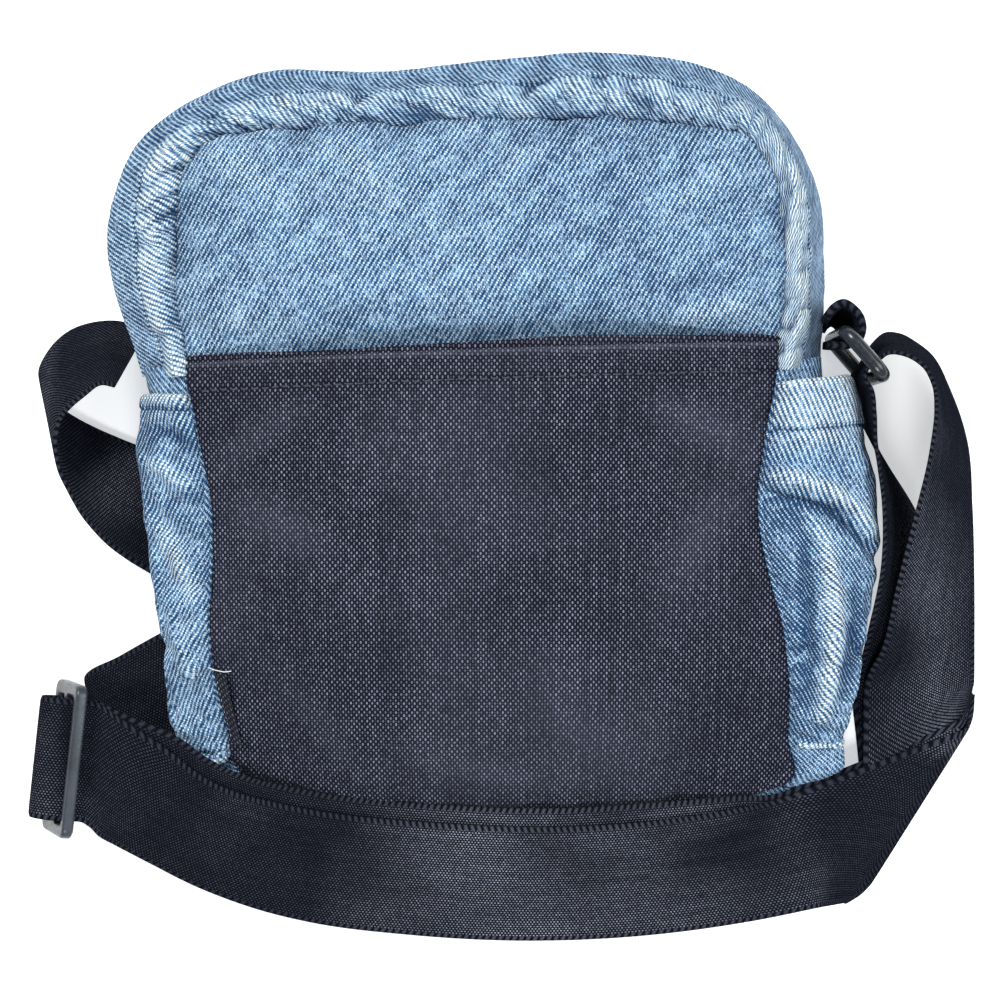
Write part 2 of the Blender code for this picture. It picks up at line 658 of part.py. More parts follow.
def strap_stations():
    """Every station of the strap, from its sewn end at the bag to its tail."""
    band = trimmed(FRONT_BAND)
    second = under_layer(band, UNDER_LAYER_SHIFT, 1)
    tail = under_layer(band[:TAIL_STATIONS], [0.0] * TAIL_STATIONS, 2)
    layer_heights = [FLOOR_LAYER + LAYER_PITCH * index for index in range(4)]
    under_radius = LAYER_PITCH / 2
    outer_radius = LAYER_PITCH * 3 / 2
    stations = trimmed(LEFT_LOOP)
    stations += flat_fold(
        UNDER_FOLD_MIDDLE, *UNDER_FOLD_HEADINGS, under_radius,
        layer_heights[0] + under_radius, 1,
    )
    stations += trimmed(LOWER_LEG)
    stations += adjuster_stations(RUNNING_BIGHT)
    stations += band
    stations += flat_fold(
        CORNER_FOLD_MIDDLE, *CORNER_FOLD_HEADINGS, outer_radius,
        layer_heights[0] + outer_radius, -1,
    )
    stations += trimmed(INNER_LEG)
    stations += trimmed(OUTER_LEG)
    up_heading, left_heading = (angle + 180.0 for angle in reversed(CORNER_FOLD_HEADINGS))
    inner_fold = flat_fold(
        CORNER_FOLD_MIDDLE, up_heading, left_heading, under_radius,
        layer_heights[1] + under_radius, 1,
    )
    stations += inner_fold
    stations += list(reversed(second))
    stations += adjuster_stations(SEWN_LOOP)
    stations += tail
    return stations


def smooth_stations(stations, steps):
    """More stations, on curves through both selvedges that keep to their spacing."""
    count = len(stations)
    middles = [(Vector(first) + Vector(second)) / 2 for first, second in stations]
    gaps = [max((b - a).length, 0.0001) for a, b in zip(middles, middles[1:])]

    def slope(index, edge):
        here = Vector(stations[index][edge])
        if index == 0:
            return (Vector(stations[1][edge]) - here) / gaps[0]
        before = (here - Vector(stations[index - 1][edge])) / gaps[index - 1]
        if index == count - 1:
            return before
        after = (Vector(stations[index + 1][edge]) - here) / gaps[index]
        near, far = gaps[index - 1], gaps[index]
        return (before * far + after * near) / (near + far)

    done = []
    for index in range(count - 1):
        for step in range(steps):
            share = step / steps
            pair = []
            for edge in (0, 1):
                start = Vector(stations[index][edge])
                end = Vector(stations[index + 1][edge])
                leave = slope(index, edge) * gaps[index]
                arrive = slope(index + 1, edge) * gaps[index]
                pair.append(
                    start * (2 * share ** 3 - 3 * share ** 2 + 1)
                    + leave * (share ** 3 - 2 * share ** 2 + share)
                    + end * (3 * share ** 2 - 2 * share ** 3)
                    + arrive * (share ** 3 - share ** 2)
                )
            done.append(tuple(pair))
    done.append(stations[-1])
    return done


ADJUSTER_OUT = ADJUSTER_UP.cross(ADJUSTER_ALONG).normalized()
if ADJUSTER_OUT.x > 0:
    ADJUSTER_OUT.negate()


def make_panels():
    back_slopes = (BACK_SLOPES, BACK_SLOPE_POWER)
    front_slopes = (FRONT_SLOPES, FRONT_SLOPE_POWER)
    back = panel_rows(REAR, BACK_CROWN, *back_slopes)
    cloth("back_panel", back, DENIM_THICKNESS, "denim")
    pocket = panel_rows(
        REAR, POCKET_CROWN, *back_slopes, lift=POCKET_SEAM_LIFT, mouth=SLIP_POCKET_MOUTH
    )
    cloth("back_slip_pocket", pocket, CANVAS_THICKNESS, "canvas")
    foam = panel_rows(REAR, BACK_CROWN, *back_slopes, lift=-FOAM_DROP, inset=0.05)
    cloth("back_foam", foam, FOAM_THICKNESS, "foam")
    back_lining = panel_rows(
        REAR, BACK_CROWN, *back_slopes, lift=-BACK_LINING_DROP, inset=0.045
    )
    cloth("back_lining", back_lining, LINING_THICKNESS, "lining")
    front = panel_rows(FRONT, FRONT_LEVEL, *front_slopes)
    cloth("front_panel", front, DENIM_THICKNESS, "denim")
    front_lining = panel_rows(
        FRONT, FRONT_LEVEL, *front_slopes, lift=FRONT_LINING_LIFT, inset=0.05
    )
    cloth("front_lining", front_lining, LINING_THICKNESS, "lining")


def make_gussets():
    rear = strip_rows(
        rear_gusset_section, -GUSSET_END, GUSSET_END, 49, span(0.06, 1.0, 6)
    )
    cloth("gusset_rear_strip", rear, DENIM_THICKNESS, "denim")
    front = strip_rows(
        front_gusset_section, -GUSSET_END, GUSSET_END, 41, span(0.0, 0.90, 3)
    )
    cloth("gusset_front_strip", front, DENIM_THICKNESS, "denim")
    girth = span(0.05, 0.95, 8)
    right = strip_rows(side_section, 6.02, 9.9, 15, girth)
    cloth("side_panel_right", right, DENIM_THICKNESS, "denim")
    left = strip_rows(side_section, 14.1, 17.98, 15, girth)
    cloth("side_panel_left", left, DENIM_THICKNESS, "denim")
    bottom = strip_rows(side_section, 10.1, 13.9, 15, span(0.10, 0.90, 4))
    cloth("bottom_panel", bottom, DENIM_THICKNESS, "denim")


def make_side_pockets():
    girth = span(POCKET_EDGE, 1 - POCKET_EDGE, 9)
    right = strip_rows(pocket_section(RIGHT_POCKET_BULGE), 6.05, 9.5, 13, girth)
    cloth("side_pocket_right", right, DENIM_THICKNESS, "denim")
    left = strip_rows(pocket_section(LEFT_POCKET_BULGE), 14.4, 17.85, 13, girth)
    cloth("side_pocket_left", left, DENIM_THICKNESS, "denim")


def make_zip():
    cloth("zip_tape_rear", tape_rows(1), TAPE_THICKNESS, "zip_tape")
    cloth("zip_tape_front", tape_rows(-1), TAPE_THICKNESS, "zip_tape")
    for name, side in (("zip_teeth_rear", 1), ("zip_teeth_front", -1)):
        points = [
            zip_point(place) + zip_outward(place) * TOOTH_STANDOFF
            + Vector((0, 0, side * TOOTH_OFFSET))
            for place in span(-ZIP_TEETH_END, ZIP_TEETH_END, 45)
        ]
        rod(name, points, TOOTH_RADIUS, "zip_teeth")
    for name, sign in (("zip_stop_left", -1), ("zip_stop_right", 1)):
        place = sign * (ZIP_TEETH_END + 0.14)
        middle = zip_point(place) + zip_outward(place) * TOOTH_STANDOFF
        half = Vector(STOP_SIZE) / 2
        stop = block(name, middle - half, middle + half, "zip_metal")
        set_origin(stop, middle)


def make_slider_and_pull():
    middle = zip_point(0.0)
    tape_y = middle.y
    x = SLIDER_REST_X
    z = middle.z
    half_length = SLIDER_LENGTH / 2
    half_width = SLIDER_WIDTH / 2
    body = block(
        "zip_slider",
        (x - half_length, tape_y + SLIDER_BASE, z - half_width),
        (x + half_length, tape_y + SLIDER_TOP, z + half_width),
        "zip_metal",
    )
    half_groove = SLIDER_GROOVE_WIDTH / 2
    groove = block(
        "slider_groove",
        (x - SLIDER_LENGTH, tape_y - SLIDER_TOP, z - half_groove),
        (x + SLIDER_LENGTH, tape_y + SLIDER_GROOVE_TOP, z + half_groove),
        "zip_metal", CUTTERS,
    )
    bridge_reach = BRIDGE_INNER_LENGTH / 2 + BRIDGE_METAL
    bridge_top = tape_y + SLIDER_TOP + BRIDGE_INNER_HEIGHT + BRIDGE_METAL
    bridge = block(
        "slider_bridge",
        (x - bridge_reach, tape_y + SLIDER_TOP - BRIDGE_METAL / 2, z - BRIDGE_WIDTH / 2),
        (x + bridge_reach, bridge_top, z + BRIDGE_WIDTH / 2),
        "zip_metal", CUTTERS,
    )
    eye = block(
        "slider_eye",
        (x - BRIDGE_INNER_LENGTH / 2, tape_y + SLIDER_TOP, z - BRIDGE_WIDTH),
        (x + BRIDGE_INNER_LENGTH / 2, bridge_top - BRIDGE_METAL, z + BRIDGE_WIDTH),
        "zip_metal", CUTTERS,
    )
    combine(bridge, [eye], "DIFFERENCE")
    combine(body, [groove], "DIFFERENCE")
    combine(body, [bridge], "UNION")

    hinge = Vector((x, tape_y + SLIDER_TOP + BRIDGE_INNER_HEIGHT / 2, z))
    bar = PULL_THICKNESS
    plate = rounded_rectangle(PULL_LENGTH, PULL_WIDTH, 0.0016, 4)
    offset = PULL_LENGTH / 2 - bar / 2
    plate = [(px - offset, py) for px, py in plate]
    window_middle = -(bar / 2 + PULL_WINDOW_LENGTH / 2)
    window = [
        (px + window_middle, py)
        for px, py in rounded_rectangle(PULL_WINDOW_LENGTH, PULL_WINDOW_WIDTH, 0.0004, 2)
    ]
    pull = flat_plate("zip_pull", [plate, window], PULL_THICKNESS, "zip_metal")
    pull.rotation_euler = (math.radians(90), 0.0, 0.0)
    pull.location = hinge


def make_ring_and_tab():
    lean = Vector((*RING_LEAN, 0.0)).normalized()
    rim = rounded_rectangle(
        RING_LENGTH - 2 * RING_BAR_RADIUS, RING_WIDTH - 2 * RING_BAR_RADIUS, RING_CORNER, 4
    )
    tab_bar = RING_MIDDLE - lean * (RING_WIDTH / 2 - RING_BAR_RADIUS)
    points = [
        RING_MIDDLE - tab_bar + lean * across + Vector((0, 0, along)) for along, across in rim
    ]
    ring = rod("strap_ring", points, RING_BAR_RADIUS, "plastic", closed=True, resolution=2)
    ring.location = tab_bar
    path = [Vector((x, y, 0.0)) for x, y in TAB_PATH]
    rows = []
    for index in range(len(path) - 1):
        near = [
            path[max(0, index - 1)], path[index], path[index + 1],
            path[min(len(path) - 1, index + 2)],
        ]
        for share in (0.0, 1 / 3, 2 / 3):
            rows.append(catmull(*near, share))
    rows.append(path[-1])
    heights = span(TAB_LOW, TAB_HIGH, 2)
    cloth(
        "ring_tab", [[point + Vector((0, 0, height)) for height in heights] for point in rows],
        TAB_THICKNESS, "webbing",
    )


def make_strap():
    stations = smooth_stations(strap_stations(), 2)
    rows = []
    for first, second in stations:
        first = Vector((first.x, first.y, max(first.z, FLOOR_LAYER)))
        second = Vector((second.x, second.y, max(second.z, FLOOR_LAYER)))
        rows.append([first, first.lerp(second, 0.5), second])
    cloth("strap", rows, STRAP_THICKNESS, "webbing")


def make_adjuster():
    outer = rounded_rectangle(ADJUSTER_LENGTH, ADJUSTER_HEIGHT, ADJUSTER_CORNER, 5)
    slot_height = SLOT_FAR - SLOT_NEAR
    slot_middle = (SLOT_FAR + SLOT_NEAR) / 2
    slots = [
        [(x, y + side * slot_middle) for x, y in rounded_rectangle(
            SLOT_LENGTH, slot_height, SLOT_CORNER, 3)]
        for side in (1, -1)
    ]
    frame = flat_plate("strap_adjuster", [outer, *slots], ADJUSTER_THICKNESS, "plastic")
    axes = (ADJUSTER_ALONG, ADJUSTER_UP, ADJUSTER_ALONG.cross(ADJUSTER_UP).normalized())
    for column, axis in enumerate(axes):
        for row in range(3):
            frame.matrix_world[row][column] = axis[row]
    frame.location = ADJUSTER_MIDDLE


def make_label():
    rows = []
    for place in span(LABEL_FROM, LABEL_TO, 7):
        up = 1 - (LEFT_TOP - place) / (LEFT_TOP - LEFT_BOTTOM)
        row = []
        for across in span(SEAM_GAP, SEAM_GAP + LABEL_WIDTH / PANEL_WIDTH_AT_LABEL, 3):
            point = panel_point(
                REAR, across, up, POCKET_CROWN, BACK_SLOPES, BACK_SLOPE_POWER
            )
            row.append(point + Vector((0, 0, POCKET_SEAM_LIFT + LABEL_LIFT)))
        rows.append(row)
    cloth("side_label", rows, LABEL_THICKNESS, "label")


make_panels()
make_gussets()
make_side_pockets()
make_zip()
make_slider_and_pull()
make_ring_and_tab()
make_strap()
make_adjuster()
make_label()
bpy.context.view_layer.update()
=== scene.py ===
"""Looks for the denim shoulder bag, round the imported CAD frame: denim, canvas, webbing, plastic and zip."""

import math

import bpy
import numpy as np
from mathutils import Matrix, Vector


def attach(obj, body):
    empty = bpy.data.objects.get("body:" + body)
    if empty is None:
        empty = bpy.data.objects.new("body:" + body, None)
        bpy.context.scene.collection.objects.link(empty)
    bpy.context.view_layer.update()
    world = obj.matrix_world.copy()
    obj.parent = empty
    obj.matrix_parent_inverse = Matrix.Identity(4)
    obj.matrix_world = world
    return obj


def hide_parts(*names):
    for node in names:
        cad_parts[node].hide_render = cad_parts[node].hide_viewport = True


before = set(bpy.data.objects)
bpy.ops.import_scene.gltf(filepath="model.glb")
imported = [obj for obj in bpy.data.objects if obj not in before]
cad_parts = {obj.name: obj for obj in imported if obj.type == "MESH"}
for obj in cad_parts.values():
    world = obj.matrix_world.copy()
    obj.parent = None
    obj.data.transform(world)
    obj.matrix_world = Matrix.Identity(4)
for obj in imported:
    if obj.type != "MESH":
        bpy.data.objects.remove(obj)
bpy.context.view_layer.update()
SCENE = bpy.context.scene
MM = 0.001
UP = np.array([0.0, 0.0, 1.0])

# ---------------------------------------------------------------- camera, floor and light
camera_data = bpy.data.cameras.new("camera")
camera_data.lens = 106.0
camera_data.sensor_width = 36.0
camera_data.clip_start = 0.01
camera = bpy.data.objects.new("camera", camera_data)
camera.location = (0.010, -0.018, 0.950)
SCENE.collection.objects.link(camera)
SCENE.camera = camera
SCENE.view_settings.view_transform = "Standard"

world = bpy.data.worlds.new("studio")
world.use_nodes = True
world.node_tree.nodes["Background"].inputs[0].default_value = (0.97, 0.985, 1.0, 1.0)
world.node_tree.nodes["Background"].inputs[1].default_value = 0.32
SCENE.world = world


def area_light(name, place, aim, size, watts, colour=(1.0, 1.0, 1.0)):
    data = bpy.data.lights.new(name, "AREA")
    data.shape = "DISK"
    data.size = size
    data.energy = watts
    data.color = colour
    lamp = bpy.data.objects.new(name, data)
    lamp.location = place
    lamp.rotation_euler = (Vector(aim) - Vector(place)).to_track_quat("-Z", "Y").to_euler()
    SCENE.collection.objects.link(lamp)


area_light("key", (-0.55, 0.75, 1.15), (0, 0, 0), 0.45, 19.0, (1.0, 0.985, 0.96))
area_light("fill", (0.9, 0.1, 0.9), (0, 0, 0), 0.8, 9.0, (0.95, 0.98, 1.0))
area_light("front", (0.03, -0.80, 0.92), (0, -0.1, 0), 0.35, 7.0)

# ---------------------------------------------------------------- numbers shared with the CAD
def tenths(rows):
    """Metres, from lengths given in tenths of a millimetre."""
    return np.array(rows) / 10000


def point_rows(rows):
    """The same, for rows that hold two or three (x, y, z) points each."""
    return tenths(rows).reshape(len(rows), -1, 3)


OUTLINE = point_rows([
    (146, 997, 460, 100, 1195, 290, 100, 1000, 45), (450, 1005, 460, 410, 1215, 290, 420, 1010, 45),
    (720, 973, 445, 730, 1175, 290, 690, 970, 50), (890, 915, 430, 940, 1050, 290, 820, 860, 70),
    (970, 720, 420, 1085, 800, 290, 900, 700, 85), (980, 470, 420, 1110, 500, 290, 930, 480, 95),
    (950, 200, 420, 1100, 220, 290, 950, 200, 100), (895, -200, 400, 1130, -200, 280, 960, -200, 100),
    (990, -640, 320, 1130, -650, 220, 950, -650, 90), (1010, -920, 200, 1100, -920, 140, 940, -880, 60),
    (990, -1090, 105, 1050, -1095, 70, 900, -1030, 30), (450, -1165, 82, 450, -1195, 55, 450, -1110, 22),
    (50, -1170, 82, 50, -1200, 55, 50, -1115, 22), (-380, -1155, 82, -380, -1185, 58, -380, -1100, 30),
    (-710, -1040, 115, -760, -1070, 85, -690, -990, 60), (-760, -900, 180, -850, -900, 130, -770, -860, 90),
    (-805, -620, 290, -880, -620, 200, -800, -600, 120), (-790, -220, 380, -925, -220, 260, -840, -220, 130),
    (-860, 180, 410, -1000, 180, 290, -900, 180, 120), (-900, 500, 420, -1115, 540, 300, -915, 500, 100),
    (-895, 780, 420, -1100, 780, 290, -895, 740, 85), (-810, 910, 430, -975, 990, 290, -800, 880, 70),
    (-620, 960, 445, -650, 1150, 290, -610, 960, 50), (-300, 980, 460, -280, 1155, 290, -280, 990, 45),
])
REAR, WIDEST, FRONT = 0, 1, 2
RIGHT_TOP, RIGHT_BOTTOM, BOTTOM_MIDDLE, LEFT_BOTTOM, LEFT_TOP = 3, 10, 12, 14, 21
ZIP_LINE = tenths([
    (-1000, 200, 195), (-1045, 520, 190), (-1010, 770, 185),
    (-880, 1000, 180), (-620, 1120, 170), (-300, 1120, 170),
    (50, 1120, 170), (360, 1120, 170), (660, 1120, 170),
    (900, 1000, 180), (1020, 750, 185), (1050, 480, 190),
    (1040, 220, 195),
])
ZIP_SEAM = 0.0072
STRAP_WIDTH = 0.0385
STRAP_THICKNESS = 0.0014
BACK_SLOPES = (0.50, 0.50, 0.65, 0.35)
FRONT_SLOPES = (0.30, 0.30, 0.30, 0.30)
BACK_LEVEL, SLIP_POCKET_LEVEL, FRONT_LEVEL = 0.0535, 0.0602, 0.0006
CLOTH_THICKNESS = 0.0012


# ---------------------------------------------------------------- shape helpers
def smooth(x, low=0.0, high=1.0):
    x = np.clip((x - low) / (high - low), 0.0, 1.0)
    return x * x * (3 - 2 * x)


def bell(x, width):
    return np.exp(-(x / width) ** 2)


def catmull(p0, p1, p2, p3, s):
    return 0.5 * (2 * p1 + (p2 - p0) * s + (2 * p0 - 5 * p1 + 4 * p2 - p3) * s ** 2
                  + (3 * p1 - p0 - 3 * p2 + p3) * s ** 3)


def outline(line, place):
    place = np.asarray(place, float)
    i = np.floor(place).astype(int)
    near = [OUTLINE[(i + k) % len(OUTLINE), line] for k in (-1, 0, 1, 2)]
    return catmull(*near, (place - i)[..., None])


def zip_line(place):
    place = np.clip(np.asarray(place, float), -6, 6)
    i = np.minimum(np.floor(place).astype(int), 5)
    near = [ZIP_LINE[np.clip(i + 6 + k, 0, 12)] for k in (-1, 0, 1, 2)]
    s = (place - i)[..., None]
    curved = catmull(*near, s)
    straight = near[1] + (near[2] - near[1]) * s
    return np.where(((i >= -2) & (i < 2))[..., None], straight, curved)


def panel(line, a, b, level, slopes, power):
    """Points of a domed panel at shares across a and up b."""
    A, B = a[..., None], b[..., None]
    left, right = outline(line, LEFT_TOP - 7 * (1 - b)), outline(line, RIGHT_TOP + 7 * (1 - b))
    bottom, top = outline(line, LEFT_BOTTOM - 4 * a), outline(line, -3 + 6 * a)
    corners = [outline(line, np.full(np.shape(a), float(place)))
               for place in (LEFT_BOTTOM, RIGHT_BOTTOM, LEFT_TOP, RIGHT_TOP)]
    plan = left * (1 - A) + right * A + bottom * (1 - B) + top * B
    shares = ((1 - A) * (1 - B), A * (1 - B), (1 - A) * B, A * B)
    plan -= sum(corner * share for corner, share in zip(corners, shares))
    fall = [np.maximum(0, 1 - share / slope) ** power for share, slope in zip((a, 1 - a, b, 1 - b), slopes)]
    z = level + sum(f * (side[..., 2] - level) for f, side in zip(fall, (left, right, bottom, top)))
    z -= sum(fall[up] * fall[across] * (corner[..., 2] - level)
             for corner, (up, across) in zip(corners, ((2, 0), (2, 1), (3, 0), (3, 1))))
    plan[..., 2] = z
    return plan


def through(first, middle, last, m, s):
    s = s[..., None]
    return (first * (s - m) * (s - 1) / m + middle * s * (s - 1) / (m * (m - 1))
            + last * s * (s - m) / (1 - m))


def side_section(place, share):
    return through(outline(REAR, place), outline(WIDEST, place), outline(FRONT, place), 0.5, share)


def grid(a0, a1, n, b0, b1, m):
    """Two arrays of n rows by m columns: rows run over a, columns over b."""
    return np.meshgrid(np.linspace(a0, a1, n), np.linspace(b0, b1, m), indexing="ij")


def unit(v):
    return v / np.maximum(np.linalg.norm(v, axis=-1, keepdims=True), 1e-12)


def normals(P):
    return unit(np.cross(np.gradient(P, axis=0), np.gradient(P, axis=1)))


def outward(P, hint):
    n = normals(P)
    flip = np.sign(np.sum(n * hint, axis=-1, keepdims=True))
    return n * np.where(flip == 0, 1, flip)


def arc(P, axis):
    d = np.linalg.norm(np.diff(P, axis=axis), axis=-1)
    zero = np.zeros_like(np.take(d, [0], axis=axis))
    return np.concatenate([zero, np.cumsum(d, axis=axis)], axis=axis)


def lattice(x, y, seed):
    """Smooth random values from -1 to 1 on a unit lattice."""
    table = np.random.default_rng(seed).random((128, 128)) * 2 - 1
    i, j = np.floor(x).astype(int), np.floor(y).astype(int)
    fx, fy = x - i, y - j
    fx, fy = fx * fx * (3 - 2 * fx), fy * fy * (3 - 2 * fy)
    v = [table[(i + p) % 128, (j + q) % 128] for p in (0, 1) for q in (0, 1)]
    return (v[0] * (1 - fx) * (1 - fy) + v[1] * (1 - fx) * fy
            + v[2] * fx * (1 - fy) + v[3] * fx * fy)


def clouds(x, y, size, seed, octaves=3):
    total = np.zeros(np.broadcast(x, y).shape)
    for k in range(octaves):
        total = total + lattice(x / size * 2 ** k + 7.3 * k, y / size * 2 ** k + 3.1 * k, seed + k) / 2 ** k
    return total


def fold(x, y, route, width, height):
    """Height of a soft ridge along a route through (x, y) points, all in one unit."""
    best = np.full(np.shape(x), 1e9)
    fade = np.zeros(np.shape(x))
    total = sum(math.dist(p, q) for p, q in zip(route, route[1:]))
    run = 0.0
    for (x0, y0), (x1, y1) in zip(route, route[1:]):
        dx, dy = x1 - x0, y1 - y0
        length = math.hypot(dx, dy)
        s = np.clip(((x - x0) * dx + (y - y0) * dy) / length ** 2, 0, 1)
        d = np.hypot(x - x0 - s * dx, y - y0 - s * dy)
        along = (run + s * length) / total
        fade = np.where(d < best, np.sin(np.pi * np.clip(along, 0.03, 0.97)) ** 0.6, fade)
        best = np.minimum(d, best)
        run += length
    return height * fade * bell(best, width)


def folds(x, y, table):
    return sum(fold(x, y, *row) for row in table)


def resample(P, rows, cols):
    """A finer grid on a smooth surface through the same points."""
    def along(Q, count):
        n = Q.shape[0]
        t = np.linspace(0, n - 1, count)
        i = np.minimum(t.astype(int), n - 2)
        k = [np.clip(i + d, 0, n - 1) for d in (-1, 0, 1, 2)]
        s = (t - i).reshape(-1, *([1] * (Q.ndim - 1)))
        return catmull(*(Q[j] for j in k), s)
    return np.swapaxes(along(np.swapaxes(along(P, rows), 0, 1), cols), 0, 1)


def resample_values(values, rows, cols):
    return resample(values[..., None], rows, cols)[..., 0]


def curve_through(points, count):
    """A smooth line of count points through a few."""
    return resample(np.repeat(np.asarray(points)[:, None], 2, 1), count, 2)[:, 0]


def in_mm(P):
    """Places across and up the bag, in millimetres."""
    return P[..., 0] * 1000, P[..., 1] * 1000


def raised(P, N, height):
    """P moved along N by a height in millimetres."""
    return P + N * (height * MM)[..., None]


def mesh_object(name, verts, faces):
    mesh = bpy.data.meshes.new(name)
    mesh.from_pydata([tuple(map(float, v)) for v in verts], [], faces)
    mesh.shade_smooth()
    made = bpy.data.objects.new(name, mesh)
    SCENE.collection.objects.link(made)
    return made


def grid_faces(n, m, wrap_rows=False, wrap_cols=False):
    rows = n if wrap_rows else n - 1
    cols = m if wrap_cols else m - 1
    return [(i * m + j, ((i + 1) % n) * m + j, ((i + 1) % n) * m + (j + 1) % m, i * m + (j + 1) % m)
            for i in range(rows) for j in range(cols)]


def point_values(made, name, values):
    attribute = made.data.attributes.new(name, "FLOAT", "POINT")
    attribute.data.foreach_set("value", np.asarray(values, np.float32).ravel())


def weave_values(made, weft, warp):
    attribute = made.data.attributes.new("cloth", "FLOAT_VECTOR", "POINT")
    flat = np.stack([weft, warp, np.zeros_like(weft)], -1)
    attribute.data.foreach_set("vector", flat.astype(np.float32).ravel())


def cloth_piece(name, P, weft, warp, thickness, material, nodes, wear, deep):
    """A closed sheet of cloth through grid P, with its weave coordinates, worn places, and dark places that
    are partly unfaded dye and partly painted shade.
    """
    made = mesh_object(name, P.reshape(-1, 3), grid_faces(*P.shape[:2]))
    weave_values(made, weft, warp)
    point_values(made, "wear", wear)
    point_values(made, "deep", deep)
    solid = made.modifiers.new("thickness", "SOLIDIFY")
    solid.thickness = thickness
    solid.offset = 0.0
    finish_piece(made, material, "bag", nodes)


def denim_piece(name, node, P, weft, warp, wear, deep, thickness=CLOTH_THICKNESS):
    cloth_piece(name, P, weft, warp, thickness, DENIM, [node],
                np.clip(wear, 0, 1), np.clip(deep, 0, 1))


def finish_piece(made, material, body, nodes=()):
    made.data.materials.append(material)
    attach(made, body)
    if nodes:
        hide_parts(*nodes)


def tube(points, radius, sides, closed=False):
    """Verts and faces of a tube along points; radius may vary along it."""
    P = np.asarray(points, float)
    n = len(P)
    T = unit((np.roll(P, -1, 0) - np.roll(P, 1, 0)) if closed else np.gradient(P, axis=0))
    ref = np.array([0.0, 0.0, 1.0]) if abs(T[0][2]) < 0.9 else np.array([1.0, 0.0, 0.0])
    U = np.zeros_like(P)
    u = ref - T[0] * ref.dot(T[0])
    for i in range(n):
        u = U[i] = unit(u - T[i] * u.dot(T[i]))
    V = np.cross(T, U)
    r = np.broadcast_to(np.asarray(radius, float), (n,))
    ang = np.linspace(0, 2 * np.pi, sides, endpoint=False)
    ring = (P[:, None] + U[:, None] * (np.cos(ang)[None, :, None] * r[:, None, None])
            + V[:, None] * (np.sin(ang)[None, :, None] * r[:, None, None]))
    faces = grid_faces(n, sides, wrap_rows=closed, wrap_cols=True)
    if not closed:
        faces += [tuple(reversed(range(sides))), tuple(range((n - 1) * sides, n * sides))]
    return ring.reshape(-1, 3), faces


def join_parts(parts):
    verts, faces, at = [], [], 0
    for v, f in parts:
        verts.append(v)
        faces += [tuple(i + at for i in face) for face in f]
        at += len(v)
    return np.concatenate(verts), faces


# ---------------------------------------------------------------- cloth that buckles
def buckle(P, grow, pressure, cap, bend, seed, pins=(1, 1, 1, 1), frames=16):
    """P after its cloth, cut a little too large and held at its edges, has buckled.

    pins says which of the first row, last row, first column and last column are sewn down.
    """
    scale = 10.0
    n, m = P.shape[:2]
    Q = P * scale
    N = normals(P)
    x, y = np.meshgrid(np.arange(n), np.arange(m), indexing="ij")
    Q = Q + N * (lattice(x / 2.3, y / 2.3, seed) * 0.006)[..., None]
    made = mesh_object("buckling", Q.reshape(-1, 3), grid_faces(n, m))
    held = made.vertex_groups.new(name="held")
    mask = np.zeros((n, m), bool)
    for edge, pin in zip((mask[0], mask[-1], mask[:, 0], mask[:, -1]), pins):
        edge |= bool(pin)
    held.add([int(i) for i in np.nonzero(mask.ravel())[0]], 1.0, "REPLACE")
    cloth = made.modifiers.new("cloth", "CLOTH")
    s = cloth.settings
    s.quality = 8
    s.mass = 0.25
    s.tension_stiffness = s.compression_stiffness = 18.0
    s.shear_stiffness = 4.0
    s.bending_stiffness = bend
    s.air_damping = 4.0
    s.shrink_min = -grow
    s.vertex_group_mass = "held"
    s.use_pressure = True
    s.uniform_pressure_force = pressure
    s.effector_weights.gravity = 0.0
    cloth.collision_settings.use_collision = False
    cloth.point_cache.frame_start = 1
    cloth.point_cache.frame_end = frames
    for f in range(1, frames + 1):
        SCENE.frame_set(f)
    graph = bpy.context.evaluated_depsgraph_get()
    out = made.evaluated_get(graph).to_mesh()
    R = np.zeros(n * m * 3, np.float32)
    out.vertices.foreach_get("co", R)
    R = R.reshape(n, m, 3).astype(float) / scale
    mesh = made.data
    bpy.data.objects.remove(made, do_unlink=True)
    bpy.data.meshes.remove(mesh)
    SCENE.frame_set(1)
    move = R - P
    size = np.linalg.norm(move, axis=-1, keepdims=True)
    return P + move * np.minimum(1.0, cap / np.maximum(size, 1e-9))


def relief(P, Q):
    """How far Q stands proud of its own surroundings, along P's normals."""
    reach = 9
    h = np.sum((Q - P) * normals(P), axis=-1)
    k = np.ones(reach) / reach
    low = np.pad(h, reach, mode="edge")
    low = np.apply_along_axis(lambda r: np.convolve(r, k, "same"), 0, low)
    low = np.apply_along_axis(lambda r: np.convolve(r, k, "same"), 1, low)
    return h - low[reach:-reach, reach:-reach]


# ---------------------------------------------------------------- materials
class Wire:
    """A node's output that takes part in arithmetic."""

    def __init__(self, nodes, socket):
        self.nodes, self.socket = nodes, socket

    def __add__(self, other): return self.nodes.math("ADD", self, other)
    def __sub__(self, other): return self.nodes.math("SUBTRACT", self, other)
    def __rsub__(self, other): return self.nodes.math("SUBTRACT", other, self)
    def __mul__(self, other): return self.nodes.math("MULTIPLY", self, other)


